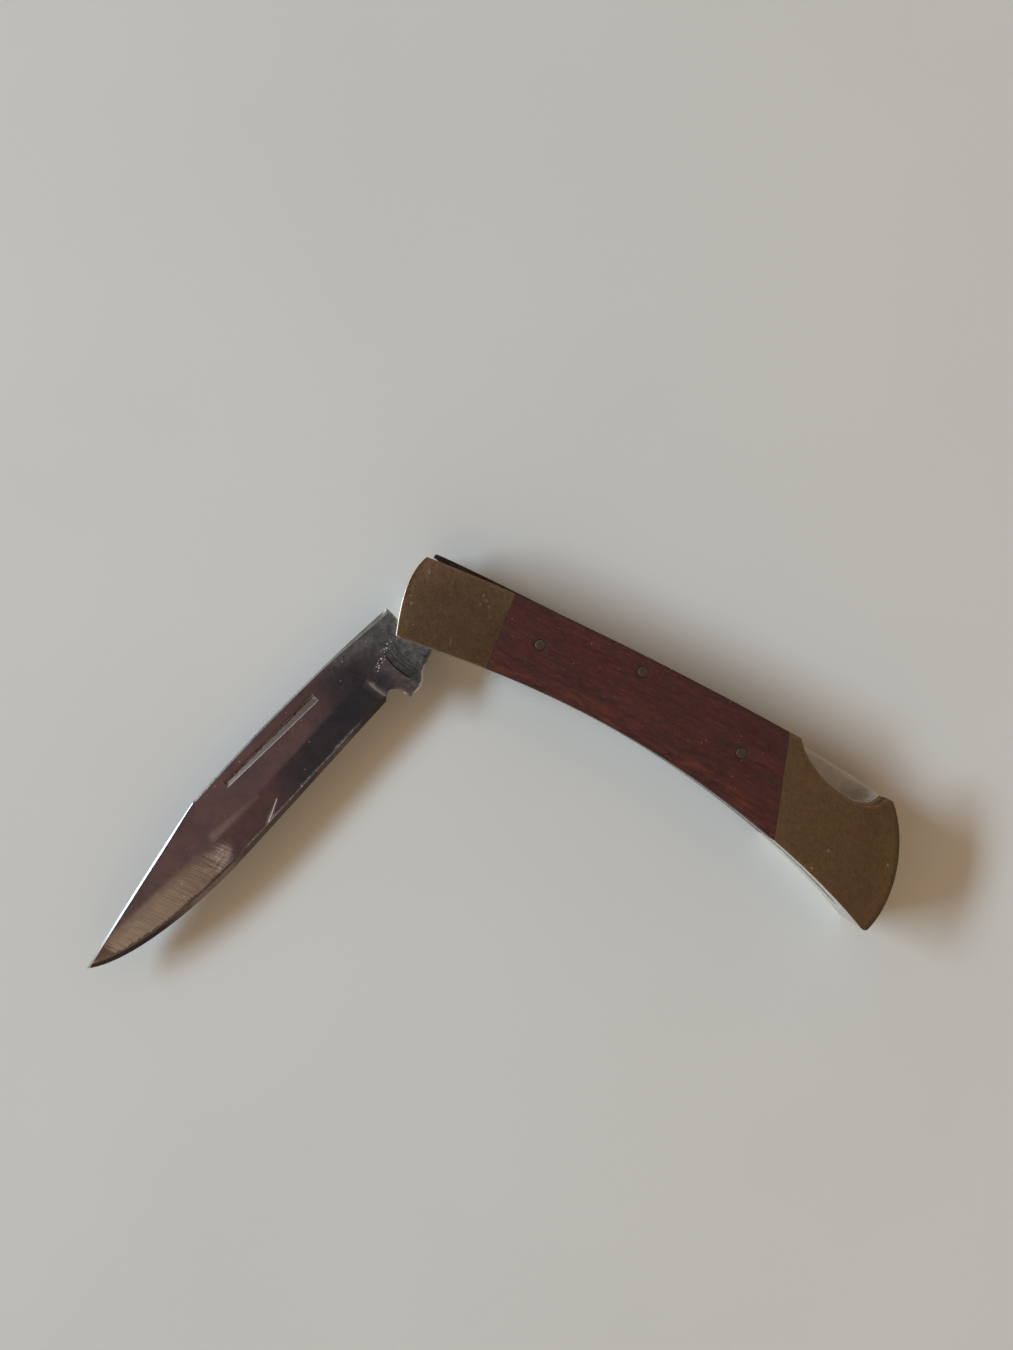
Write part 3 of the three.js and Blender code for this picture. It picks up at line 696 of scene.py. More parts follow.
    # A pale scratch, and with it a painted highlight along the kick's outline.
    scar = g.attribute("scar")
    g.bump(scar, -0.02)
    haze_and_painted_highlight = g.more(haze_and_painted_highlight, scar, 0.70)
    g.rougher(scar, 0.2)
    g.over(haze_and_painted_highlight, (0.66, 0.67, 0.62))
    g.surface(g.minus(1.0, haze_and_painted_highlight))
    return made


def dull_steel(name, base, dark, seed, rough, angle=0.0, mark_colour=None):
    """Plain steel with fine lines along it. Where the attribute says, a second colour with upright brushed
    lines is painted in: painted light and shade.
    """
    made, g = material(name)
    at = g.object_space(angle, (1, 1, 1), (0, 0, seed * 0.01))
    cloud = g.noise(at, 0.2, 3.0, 0.6, 0.4)
    grime = g.noise(at, 1.6, 5.0, 0.7)
    g.colour = g.blend(g.span(cloud, 0.35, 0.7), base, dark)
    g.over(g.span(grime, 0.52, 0.8, 0, 0.4), tuple(c * 0.45 for c in dark))
    lines = g.noise(g.scaled(at, (0.25, 7.0, 7.0)), 1.0, 3.0, 0.6)
    g.roughness = g.span(grime, 0.3, 0.7, rough - 0.05, rough + 0.1)
    if mark_colour:
        upright = g.object_space(UPRIGHT, (0.3, 6.0, 6.0))
        brushed = g.noise(upright, 1.0, 3.0, 0.6)
        painted_light_and_shade = g.attribute("painted_light_and_shade")
        g.over(painted_light_and_shade, g.blend(g.span(brushed, 0.3, 0.7), mark_colour, tuple(c * 0.8 for c in mark_colour)))
        lines = g.blend(painted_light_and_shade, lines, brushed)
    g.bump(lines, 0.003)
    g.bump(grime, 0.004)
    g.surface(1.0)
    return made


def nick_material():
    """The floor of the nail nick: tan and dusty, with a painted shadow along its spine side."""
    made, g = material("nick_steel")
    at = g.object_space(BLADE_ANGLE, (1, 1, 1), PIVOT)
    uneven = g.noise(at, 0.9, 4.0, 0.65)
    side = g.plus(g.attribute("side"), g.times(g.minus(uneven, 0.5), 0.62))
    # Painted shadow of the spine-side wall: a reddish band over the spine side and a dark line along its edge.
    painted_shadow = g.span(side, 0.58, 0.62)
    line = g.times(painted_shadow, g.span(side, 0.77, 0.68))
    fine = g.noise(at, 2.4, 4.0, 0.7)
    g.colour = g.blend(g.span(fine, 0.35, 0.7), (0.140, 0.110, 0.090), (0.112, 0.086, 0.072))
    g.tint(painted_shadow, 0.9, (0.150, 0.105, 0.098))
    g.over(line, (0.020, 0.011, 0.009))
    g.bump(g.noise(at, 3.0, 4.0, 0.6), 0.006)
    g.roughness = g.span(painted_shadow, 0.0, 1.0, 0.40, 0.55)
    g.surface(1.0)
    return made


# Dark, middling and golden tarnish.
BRASS = (0.262, 0.188, 0.124), (0.345, 0.248, 0.152), (0.45, 0.345, 0.182)
# Pale chips and scratches in the bolsters: place, half width, and how many times longer than wide.
DINGS_FRONT = (((8.9, 7.0), 0.5, 1), ((7.6, 7.9), 0.55, 1), ((6.9, 6.6), 0.35, 1), ((6.7, 8.8), 0.45, 1),
               ((10.1, 5.1), 0.4, 1), ((13.9, 2.4), 0.4, 1), ((-6.6, 0.2), 0.4, 1), ((-7.6, 1.7), 0.35, 1),
               ((-4.2, -3.8), 0.3, 1), ((-6.3, 8.2), 0.15, 11), ((-6.2, 6.8), 0.12, 9),
               ((4.6, -3.3), 0.14, 8), ((-8.2, 3.9), 0.12, 6))
DINGS_REAR = (((99.2, -7.6), 0.6, 1), ((97.6, -12.6), 0.55, 1), ((96.2, -13.2), 0.15, 6),
              ((112.4, -4.6), 0.4, 1))


def row_patches(dings):
    return [((PIVOT.x + x * MM, PIVOT.y + y * MM, 0), radius, stretch) for (x, y), radius, stretch in dings]


front_brass = brass_material("brass_front", *BRASS, 1, patches=row_patches(DINGS_FRONT))
rear_brass = brass_material("brass_rear", *BRASS, 5, patches=row_patches(DINGS_REAR))
# Liner and spacer colours are pale: a painted reflection of the bright table on their sides.
liner_brass_painted_reflection = brass_material(
    "brass_liner_painted_reflection", (0.74, 0.73, 0.70), (0.80, 0.80, 0.77), (0.86, 0.86, 0.83), 9, 0.28)
spacer_brass_painted_reflection = brass_material("brass_spacer_painted_reflection", (0.60, 0.58, 0.53), (0.68, 0.66, 0.61), (0.75, 0.73, 0.68), 6)
wood = wood_material("wood_scale", 2)
blade_steel = steel_material("blade_steel", (0.56, 0.55, 0.55), 0.11, 4)
edge_steel = dull_steel(
    "edge_steel", (0.225, 0.205, 0.20), (0.15, 0.135, 0.13), 4, 0.36, BLADE_ANGLE, (0.054, 0.048, 0.047))
swedge_steel = dull_steel("swedge_steel", (0.42, 0.42, 0.43), (0.38, 0.38, 0.39), 6, 0.48, BLADE_ANGLE)
spine_steel = dull_steel(
    "spine_steel", (0.142, 0.121, 0.103), (0.110, 0.094, 0.080), 5, 0.42, BLADE_ANGLE, (0.020,) * 3)
nick_steel = nick_material()
# The lock bar and spring are painted dark, painted shade; the attribute paints the lock bar's rear pad paler,
# painted light.
lock_steel = dull_steel(
    "lock_steel", (0.080, 0.064, 0.048), (0.045, 0.036, 0.028), 3, 0.42, mark_colour=(0.57, 0.59, 0.57))
nickel = dull_steel("pin_nickel", (0.110, 0.088, 0.063), (0.078, 0.061, 0.045), 8, 0.52)


# Slabs: bolsters and scales.

OUTLINE = handle_outline()
OUTLINE_KINDS = np.zeros(len(OUTLINE), int)
GAP = 0.03
PINS = {
    "pivot_pin": ((0, 0), 1.75), "stop_pin": ((-5.0, 6.5), 1.3), "rocker_pin": (ROCKER, 1.15),
    "scale_pin_front": ((22.5, 4.64), 1.15), "scale_pin_rear": ((72.55, 3.1), 1.15),
    "spring_pin": ((105.2, 0.3), 1.15), "spacer_pin_upper": ((108.4, 5.1), 0.8),
    "spacer_pin_lower": ((113.0, -11.5), 1.15),
}
GROOVE = {"pivot_pin": 0.008, "stop_pin": 0.008, "spring_pin": 0.001, "spacer_pin_upper": 0.001,
          "spacer_pin_lower": 0.001, "rocker_pin": 0.16, "scale_pin_front": 0.16, "scale_pin_rear": 0.16}
HOLE_FIT = {"rocker_pin": 0.05, "scale_pin_front": 0.05, "scale_pin_rear": 0.05, "stop_pin": 0.008}
TIGHT_FIT = 0.004
WOOD_PINS = ("rocker_pin", "scale_pin_front", "scale_pin_rear")
# Painted shade in the joint round a brass pin, and how much paler the pin is than the bolster.
PIN_RING = {"pivot_pin": 0.45, "stop_pin": 0.75, "spring_pin": 0, "spacer_pin_upper": 0,
            "spacer_pin_lower": 0}
PIN_PALE = {"stop_pin": 0.16, "pivot_pin": 0.05}


def sag(at, outer, seed, waviness):
    """How far a worn slab's face lies below the full thickness, away from its edges."""
    hollow = waviness * (0.5 + 0.5 * rumple(at, 0.13, seed + 7))
    return hollow + 0.10 * np.exp(-outer / 1.6) * smooth(0, 0.4, outer)


def painted_light_on_brass(x, y):
    """Painted light and shade: how much lighter or darker the bolsters are at a place, lighter on the side
    towards the window.
    """
    front = 0.16 * smooth(1.0, -7.5, x) + 0.20 * smooth(5.0, 10.0, y) - 0.09
    rear = 0.12 * smooth(100, 86, x) - 0.19 * smooth(98, 110, x)
    return np.where(x < 50, front, rear)


def slab_piece(name, node, cuts, pins, look, under, seed, waviness, joint_ease, edge_round):
    points, kinds = OUTLINE, OUTLINE_KINDS
    for x, lean, side in cuts:
        points, kinds = cut(points, kinds, x, lean, side)
    points, kinds = refine(points, kinds)
    holes, lines = [], [(inset(points, edge_round * k), True) for k in (0.08, 0.22, 0.42, 0.68, 1.0, 2.0)]
    for p in pins:
        centre, radius = PINS[p]
        fit = HOLE_FIT.get(p, TIGHT_FIT)
        holes.append(circle(centre, radius + fit))
        if look is wood or PIN_RING[p]:
            lines += [(circle(centre, radius + fit + k), True) for k in (0.064, 0.16)]
    flat, faces = triangulate(points, holes, lines, 0.9, seed)
    outer = edge_distance(flat, points, kinds, 0)
    joint = edge_distance(flat, points, kinds, 1)
    uneven = rumple(flat, 0.45, seed)
    drop = ease(outer, edge_round) * (1 - 0.10 * np.clip(uneven, 0, 1))
    drop = np.maximum(drop, ease(joint, joint_ease))
    for p in pins:
        centre, radius = PINS[p]
        away = np.linalg.norm(flat - np.array(centre), axis=1) - radius - HOLE_FIT.get(p, TIGHT_FIT)
        drop = np.maximum(drop, ease(away, GROOVE[p]))
    drop += sag(flat, outer, seed, waviness)
    x, y = flat[:, 0], flat[:, 1]
    none = np.zeros(len(flat))
    ring = none
    for p in pins:
        centre, radius = PINS[p]
        away = np.linalg.norm(flat - np.array(centre), axis=1) - radius
        ring = np.maximum(ring, np.exp(-away / 0.45) if look is wood else np.exp(-away / 0.35) * PIN_RING[p])
    if look is wood:
        painted_rim_and_ring_shade = np.maximum(np.exp(-outer / 0.9), ring)
        tone_with_painted_light = painted_highlight = none
    else:
        # Painted shade on the rims, but the rounded front end, which faces the window, gets a painted
        # highlight.
        painted_rim_and_ring_shade = np.maximum(np.exp(-(outer / 0.26) ** 2) * smooth(-9.0, -6.0, x - 0.15 * y), ring)
        painted_highlight = np.exp(-(outer / 0.24) ** 2) * smooth(-5.5, -7.0, x) * smooth(4.0, -1.0, y)
        tone_with_painted_light = painted_light_on_brass(x, y)
    rise = y - np.interp(x, (10, 36, 60, 85), (-5.0, -4.35, -5.6, -9.5))
    belly = smooth(6.0, 0.0, rise)
    low = THICKNESS - SLAB
    top = THICKNESS - np.clip(drop, 0, SLAB - 0.2)
    to_row = under_to_row if under else handle_to_row
    # The belly's side walls are marked for a painted reflection.
    obj = solid_piece(name, flat, faces, top, np.full(len(flat), low), to_row,
                      [look], {"painted_rim_and_ring_shade": (painted_rim_and_ring_shade, none), "belly": belly, "tone_with_painted_light": tone_with_painted_light, "painted_highlight": (painted_highlight, none),
                               "side_wall_painted_reflection": np.exp(-(outer / 0.3) ** 2) * smooth(9.0, 0.0, rise)})
    if under:
        flip(obj)
    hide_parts(node)
    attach(obj, "handle")
    return obj


FRONT_CUT, REAR_CUT = (13.8, 5.3), (83.95, 18.3)
# Waviness of a face, rounding at a joint and rounding at the outline.
BRASS_FACE, WOOD_FACE = (0.03, 0.03, 0.17), (0.05, 0.03, 0.32)
FACE_SEED, UNDER_SEED = {"front": 11, "scale": 12, "rear": 13}, 3
for level, under in (("top", False), ("bottom", True)):
    seed = UNDER_SEED if under else 0
    slab = slab_piece(f"front_bolster_{level}_worn", f"front_bolster_{level}",
                      [(FRONT_CUT[0] - GAP, FRONT_CUT[1], -1)], ("pivot_pin", "stop_pin"),
                      front_brass, under, FACE_SEED["front"] + seed, *BRASS_FACE)
    slab = slab_piece(f"scale_{level}_grained", f"scale_{level}",
                      [(FRONT_CUT[0] + GAP, FRONT_CUT[1], 1), (REAR_CUT[0] - GAP, REAR_CUT[1], -1)],
                      WOOD_PINS, wood, under, FACE_SEED["scale"] + seed, *WOOD_FACE)
    slab = slab_piece(f"rear_bolster_{level}_worn", f"rear_bolster_{level}",
                      [(REAR_CUT[0] + GAP, REAR_CUT[1], 1)],
                      ("spring_pin", "spacer_pin_upper", "spacer_pin_lower"), rear_brass, under,
                      FACE_SEED["rear"] + seed, *BRASS_FACE)


# Pins: turned, with softly peened heads.

def turned_pin(name, node, centre, radius, edge, look, dome, face, waviness):
    """A pin whose head follows the worn face around it, a little domed in the wood."""
    rounded = [(radius - edge * 1.6, edge * 0.1), (radius - edge * 0.5, -edge * 0.25)] if dome else []
    profile = [(0.0, dome), (radius * 0.5, dome * 0.75), *rounded, (radius, -edge)]
    sides = 48
    spots = np.vstack([[centre], *(circle(centre, r, sides) for r, _ in profile[1:])])
    outer = edge_distance(spots, OUTLINE)
    high = THICKNESS - np.maximum(sag(spots, outer, FACE_SEED[face], waviness), dome)
    low = np.maximum(sag(spots, outer, FACE_SEED[face] + UNDER_SEED, waviness), dome)
    rise = np.concatenate([[profile[0][1]], *(np.full(sides, z) for _, z in profile[1:])])
    above = [handle_to_row((*spot, z)) for spot, z in zip(spots, high + rise)]
    below = [handle_to_row((*spot, z)) for spot, z in zip(spots, low - rise)]
    verts, faces = list(above), []
    for ring in reversed(range(len(profile) - 1)):
        verts += below[1 + ring * sides:1 + (ring + 1) * sides]
    verts.append(below[0])
    rings = [None] * (2 * len(profile))
    first, last = 0, len(verts) - 1
    for k in range(sides):
        n = (k + 1) % sides
        faces.append((first, 1 + k, 1 + n))
        for i in range(len(rings) - 3):
            a = 1 + i * sides
            faces.append((a + k, a + sides + k, a + sides + n, a + n))
        a = 1 + (len(rings) - 3) * sides
        faces.append((a + k, last, a + n))
    mesh = bpy.data.meshes.new(name)
    mesh.from_pydata(verts, [], faces)
    mesh.materials.append(look)
    layer = mesh.attributes.new("tone_with_painted_light", "FLOAT", "POINT")
    # Painted light and shade of the bolster at the pin, and how much paler the pin is.
    tone_with_painted_light = float(painted_light_on_brass(*centre)) + PIN_PALE.get(node, 0)
    layer.data.foreach_set("value", np.full(len(verts), tone_with_painted_light, dtype=np.float32))
    mesh.shade_smooth()
    mesh.set_sharp_from_angle(angle=math.radians(40))
    obj = add_object(name, mesh)
    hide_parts(node)
    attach(obj, "handle")
    return obj


for pin, (centre, radius) in PINS.items():
    if pin in WOOD_PINS:
        piece = turned_pin(pin + "_peened", pin, centre, radius, 0.05, nickel, 0.003, "scale", WOOD_FACE[0])
    else:
        front = pin in ("pivot_pin", "stop_pin")
        look = front_brass if front else rear_brass
        piece = turned_pin(pin + "_peened", pin, centre, radius, GROOVE[pin], look, 0.0,
                           "front" if front else "rear", BRASS_FACE[0])


# Blade.

TANG_RADIUS = 6
EDGE_START, CLIP_U = 21.4, 67.3
SPINE = ((6.5, 10.1), (36.15, 12.1), (CLIP_U, 10.45))
CLIP = ((CLIP_U, 10.45), (86.132, 6.8), (110.1, 1.4))
BELLY = ((71.5, -6.25), (90.0, -6.25), (104.4, -3.3), (110.1, 1.4))


def height_on(curve, u):
    fine = bezier(curve, 0.05)
    return np.interp(u, fine[:, 0], fine[:, 1])


def blade_outline():
    """Anticlockwise in u and v: edge, tip, clip, spine, tang."""
    tang = arc(TANG_RADIUS, math.radians(-270), math.radians(-33), 60)
    return np.vstack([tang, path(
        (5.032, -3.268),
        (STEP, (10.9, -5.4)),
        (STEP, (12.6, -7.55), (14.3, -7.55)),
        (STEP, (16.9, -7.55)),
        (0.3, (17.68, -3.1), (19.2, -3.1)),
        (0.3, (20.3, -3.1), (EDGE_START, -4.3)),
        (0.5, BELLY[0]),
        (0.4, *BELLY[1:]),
        (0.4, *CLIP[-2::-1]),
        (0.5, *SPINE[-2::-1]),
        (0.5, (6.35, 4.5)),
        (0.5, (0, 4.5)),
        (0.5, (0, TANG_RADIUS)),
    )])


NICK = dict(start=31.6, end=59.5, top=(8.85, 8.72), bottom=(6.48, 7.22),
            depth=0.46, foot=0.06, lip=0.07, wall=0.34)
EDGE_BEVEL = 1.0
# Half the thickness left at the keen edge.
THIN_EDGE = 0.03


def edge_v(u):
    straight = np.interp(u, (EDGE_START, BELLY[0][0]), (-4.3, BELLY[0][1]))
    return np.where(u < BELLY[0][0], straight, height_on(BELLY, u))


def spine_v(u):
    return np.where(u < CLIP_U, height_on(SPINE, u), height_on(CLIP, u))


def back_width(u):
    """Width of the bevel along the back: wide at the tang, narrow on the spine, wider again down the clip."""
    spine = 0.42 + 0.60 * smooth(27, 8, u)
    return np.where(u < CLIP_U, spine, 0.20 + 0.24 * smooth(CLIP_U, 80, u))


def grind_line(u):
    return 2.1 + 1.0 * smooth(66, 112, u)


PLUNGE_LENGTH = 1.0


def plunge_u(v):
    """Where the ground side of the blade begins behind the notch."""
    return 19.7 + 0.22 * (v + 4)


def blade_half(u, v):
    """Half the thickness of the ground blade."""
    taper = smooth(66, 112, u)
    flat = HALF_BLADE - 0.75 * taper
    line, edge, spine = grind_line(u), edge_v(u), spine_v(u)
    ground = 1 - (1 - np.clip((u - plunge_u(v)) / PLUNGE_LENGTH, 0, 1)) ** 2
    foot = edge + EDGE_BEVEL
    thin = 0.27 - 0.12 * taper
    soft = 0.16 + 0.62 * smooth(45, 84, u)
    slope = (flat - thin) / np.maximum(line - foot, 0.3)
    body = flat - slope * soft * np.logaddexp(0, (line - v) / soft)
    last = np.clip((v - edge) / EDGE_BEVEL, 0, 1)
    body = np.where(v < foot, THIN_EDGE + (thin - THIN_EDGE) * last, body)
    half = HALF_BLADE + (body - HALF_BLADE) * ground
    width = back_width(u)
    back = np.clip((width - (spine - v)) / width, 0, 1)
    half = half - 0.5 * width * np.minimum(1, half / HALF_BLADE) * back * smooth(6.0, 8.5, u)
    return np.maximum(half, THIN_EDGE)


def nick_sides(u, v):
    """Distances into the nail nick from its edge side, its spine side and its nearer end."""
    ends = (NICK["start"], NICK["end"])
    bottom, top = np.interp(u, ends, NICK["bottom"]), np.interp(u, ends, NICK["top"])
    return v - bottom, top - v, np.minimum(u - NICK["start"], NICK["end"] - u)


def nick_depth(u, v):
    """How deep the nail nick is cut: a shallow lip all round, deepest along its side towards the spine."""
    edge_side, spine_side, ends = nick_sides(u, v)
    floor = NICK["foot"] + (NICK["depth"] - NICK["foot"]) * edge_side / (edge_side + spine_side)
    lip = NICK["foot"] / NICK["lip"]
    wall = NICK["depth"] / NICK["wall"]
    depth = np.minimum(np.minimum(floor, edge_side * lip), np.minimum(spine_side * wall, ends * lip * 1.6))
    return np.maximum(depth, 0)


def nick_loop(grow):
    start, end = NICK["start"] - grow, NICK["end"] + grow
    bottom, top = NICK["bottom"], NICK["top"]
    corners = ((start, bottom[0] - grow), (end, bottom[1] - grow),
               (end, top[1] + grow), (start, top[0] + grow))
    return np.vstack([bezier((p, corners[(i + 1) % 4]), 0.4) for i, p in enumerate(corners)])


def blade_lines():
    us = np.arange(20.6, 109.0, 0.45)
    bevel = np.stack([us, edge_v(us) + EDGE_BEVEL], axis=1)
    bevel = bevel[bevel[:, 1] < spine_v(bevel[:, 0]) - 0.6]
    us = np.arange(7.0, 109.4, 0.45)
    back = np.stack([us, spine_v(us) - back_width(us)], axis=1)
    back = back[back[:, 1] > edge_v(np.maximum(back[:, 0], EDGE_START)) + 0.25]
    lines = [(bevel, False), (back, False)]
    us = np.arange(20.8, 103.0, 0.5)
    for offset in (0.8, 0.35, 0.0, -0.35, -0.8, -1.4):
        ground = np.stack([us, grind_line(us) + offset], axis=1)
        ground = ground[(ground[:, 1] < spine_v(us) - back_width(us) - 0.25)]
        lines.append((ground, False))
    for share in (0.0, 0.12, 0.27, 0.45, 0.7, 1.0):
        vs = np.arange(-4.0, 1.7, 0.35)
        lines.append((np.stack([plunge_u(vs) + PLUNGE_LENGTH * share, vs], axis=1), False))
    lines += [(nick_loop(-k), True) for k in (0.0, NICK["lip"], NICK["wall"] + 0.06)]
    return lines


def near_line(u, v, start, end, wide_start, wide_end):
    """1 on a tapering stroke between two places on the blade, 0 away from it."""
    start, end = np.array(start), np.array(end)
    d = end - start
    at = np.stack([u, v], axis=1) - start
    t = np.clip(at @ d / (d @ d), 0, 1)
    away = np.linalg.norm(at - t[:, None] * d, axis=1)
    return smooth(1.0, 0.3, away / (wide_start + (wide_end - wide_start) * t))


def build_blade():
    outline = blade_outline()
    hole = circle((0, 0), PIVOT_HOLE)
    scar = bezier(((54.0, -2.3), (59.0, -4.55)), 0.2)
    lines = blade_lines() + [(scar + k, False) for k in (0.12, 0, -0.12)]
    flat, faces = triangulate(outline, [hole], lines, 0.5, 2)
    u, v = flat[:, 0], flat[:, 1]
    half = blade_half(u, v)
    rounding = ease(edge_distance(flat, outline), 0.12) * smooth(19, 17, u)
    half = np.maximum(half - rounding, THIN_EDGE)
    top = half - nick_depth(u, v)
    below = smooth(-0.4, -3.6, v - grind_line(u)) * smooth(0.2, 1.6, v - edge_v(np.maximum(u, EDGE_START)))
    edge_gap = v - edge_v(np.maximum(u, EDGE_START)) - EDGE_BEVEL
    back_gap = spine_v(u) - back_width(u) - v
    # Painted shade: darker along the top of the edge bevel and along the clip's back line; darker towards the
    # tip as well.
    dim_band = smooth(0.9, 0.2, edge_gap + 0.3 * rumple(flat, 0.6, 4)) * smooth(66, 74, u)
    dim_tip = smooth(100.8, 106.0, u + 0.3 * rumple(flat, 0.8, 6))
    dim_line = 0.8 * smooth(0.30, 0.06, back_gap) * smooth(67, 70, u)
    # Painted highlight along the outline at the kick, carried by the scar attribute.
    painted_rim = 0.6 * smooth(0.30, 0.08, edge_distance(flat, outline)) * smooth(9.2, 10.2, u)
    painted_rim = painted_rim * smooth(16.5, 15, u) * (v < -4)
    kick = smooth(18, 16.5, u) * smooth(3.9, 2.6, v + 0.2 * (u - 12))
    behind = u - plunge_u(v)
    edge_side, spine_side, _ = nick_sides(u, v)
    haze_end = 13 + 2.4 * np.maximum(v - 6.0, 0)
    attributes = {
        "ground": smooth(68, 78, u + 1.0 * (v + 3)) * below,
        "patch": smooth(66.2, 70.6, u + 0.7 * (v + 2)) * smooth(80.5, 69, u - 0.3 * v) * smooth(1.0, -3.0, v),
        "streak": near_line(u, v, (56.3, 1.1), (69.5, 1.9), 0.55, 1.5),
        "kick": kick,
        "arc": kick * smooth(-5.6, -3.4, v),
        # Painted highlight along the top of the edge bevel.
        "glint": smooth(0.34, 0.08, np.abs(edge_gap)) * smooth(27, 31, u) * smooth(70, 62, u),
        # Painted shade on the edge and spine bevels: near the heel, in the middle and towards the tip.
        "painted_light_and_shade": np.maximum(0.8 * smooth(40, 26, u) * (v < 0),
                           np.maximum(0.6 * smooth(28, 46, u) * smooth(72, 67, u), smooth(80, 93, u))),
        "pits": np.maximum(near_line(u, v, (11.6, 4.4), (13.6, 3.6), 0.8, 0.8),
                           near_line(u, v, (15.0, 3.0), (17.6, 2.0), 0.8, 0.8)),
        "tang": smooth(haze_end + 10, haze_end - 3, u),
        # Painted light at the plunge.
        "plunge_painted_light": smooth(2.3, 0.6, behind) * smooth(-0.3, 0.0, behind) * smooth(2.6, 1.0, v),
        "scar": np.maximum(near_line(u, v, (54.0, -2.3), (59.0, -4.55), 0.16, 0.22), painted_rim),
        "band": np.maximum(np.maximum(dim_band, dim_tip), dim_line),
        "side": edge_side / (edge_side + spine_side),
    }
    middle = flat[faces].mean(axis=1)
    mu, mv = middle[:, 0], middle[:, 1]
    which = np.zeros(len(faces), int)
    which[(mu > 20.4) & (mv < edge_v(mu) + EDGE_BEVEL)] = 1
    back = (mu > 7.0) & (mv > spine_v(mu) - back_width(mu))
    which[back] = np.where(mu < CLIP_U, 4, 2)[back]
    edge_side, spine_side, ends = nick_sides(mu, mv)
    within = (edge_side > 0) & (spine_side > 0) & (ends > 0)
    which[within] = 3
    which[within & (np.minimum(edge_side, ends * 1.6) < NICK["lip"])] = 2
    obj = solid_piece("blade_ground", flat, faces, top, -half, blade_to_row,
                      [blade_steel, edge_steel, swedge_steel, nick_steel, spine_steel], attributes, which)
    # v runs the other way round from the row frame, so the faces are turned right side out.
    flip(obj)
    crease_between_materials(obj.data)
    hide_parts("blade")
    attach(obj, "blade")
    return obj


build_blade()


# Lock bar.

def lock_outline():
    nose, rear = -6.2, 106.05
    return path(
        (nose, 8.05),
        (STEP, (-3.1, 8.05)),
        (STEP, (-3.1, 4.85)),
        (STEP, (-0.1, 4.85)),
        (STEP, (0.1, 6.3)),
        (STEP, (48.65, 6.3)),
        (STEP, (54.4, 7.1)),
        (STEP, (84, 7.6)),
        (STEP, (91.735, 5.7), (96.155, 5.7)),
        (STEP, (100.575, 5.7), (rear, 7.2)),
        (STEP, (rear, 10.4)),
        (STEP, (98.315, 11.675), (83, 12.1)),
        (STEP, (62, 12.85), (38, 12.92), (20, 12.32)),
        (STEP, (8, 11.98), (-2, 11.68), (nose - 0.75, 11.22)),
        (0.2, (nose - 1.15, 10.95)),
        (0.2, (nose - 1.15, 10.3)),
        (0.3, (nose, 10.3)),
        (STEP, (nose, 8.05)),
    )


def build_lock_bar():
    c, s = math.cos(-LOCK_LIFT), math.sin(-LOCK_LIFT)
    outline = (lock_outline() - np.array(ROCKER)) @ np.array([[c, s], [-s, c]]) + np.array(ROCKER)
    hole = circle(ROCKER, ROCKER_HOLE)
    lines = [(inset(outline, d), True) for d in (0.02, 0.05)]
    flat, faces = triangulate(outline, [hole], lines, 1.2, 5)
    drop = ease(edge_distance(flat, outline), 0.05)
    # The attribute paints the rear pad, seen in the notch, paler: painted light.
    obj = solid_piece("lock_bar_worn", flat, faces, BAR_HIGH - drop, BAR_LOW + drop, handle_to_row,
                      [lock_steel], {"painted_light_and_shade": smooth(79, 84, flat[:, 0])})
    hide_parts("lock_bar")
    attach(obj, "lock_bar")


build_lock_bar()


# Pieces whose solids are already right: a fine chamfer and a finish.

def finish_node(node, look, width):
    obj = frame["nodes"][node]
    obj.data.materials.clear()
    obj.data.materials.append(look)
    bevel = obj.modifiers.new("fine_edge", "BEVEL")
    bevel.width = width * MM
    bevel.segments = 2
    bevel.limit_method = "ANGLE"
    bevel.angle_limit = math.radians(40)
    bevel.harden_normals = True


finish_node("liner_top", liner_brass_painted_reflection, 0.06)
finish_node("liner_bottom", liner_brass_painted_reflection, 0.06)
finish_node("rear_spacer", spacer_brass_painted_reflection, 0.08)
finish_node("back_spring", lock_steel, 0.08)


# Table and backdrop.

def table_piece():
    made, g = material("pale_table")
    at = g.object_space()
    soft = g.noise(at, 0.01, 3.0, 0.5)
    grain = g.noise(at, 1.4, 4.0, 0.6)
    g.colour = g.blend(g.span(soft, 0.3, 0.7), (0.470, 0.474, 0.448), (0.486, 0.490, 0.464))
    g.over(g.span(grain, 0.45, 0.8, 0, 0.10), (0.44, 0.44, 0.42))
    g.roughness = 0.55
    g.bump(grain, 0.01)
    g.surface(specular=0.15)
    profile = [(0.0, 0.0), (0.25, 0.0), (0.6, 0.0), (1.0, 0.0)]
    profile += [(1.0 + 0.35 * math.sin(a), 0.35 * (1 - math.cos(a))) for a in np.linspace(0.2, 1.5, 9)]
    sides = 96
    verts, faces = [(0, 0, 0)], []
    for r, z in profile[1:]:
        verts += [(r * math.cos(2 * math.pi * k / sides), r * math.sin(2 * math.pi * k / sides), z)
                  for k in range(sides)]
    for k in range(sides):
        n = (k + 1) % sides
        faces.append((0, 1 + k, 1 + n))
        for i in range(len(profile) - 2):
            a = 1 + i * sides
            faces.append((a + k, a + sides + k, a + sides + n, a + n))
    mesh = bpy.data.meshes.new("table")
    mesh.from_pydata(verts, [], faces)
    mesh.materials.append(made)
    mesh.shade_smooth()
    obj = add_object("table", mesh)


table_piece()


# Light: one wide window from the photograph's left, and a soft warm room that is dim straight above.

RIGHT = Vector((CAMERA_MATRIX[0][0], CAMERA_MATRIX[1][0], 0)).normalized()
UP = Vector((-RIGHT.y, RIGHT.x, 0))
CENTRE = Vector((-0.01, 0.03, 0.0))


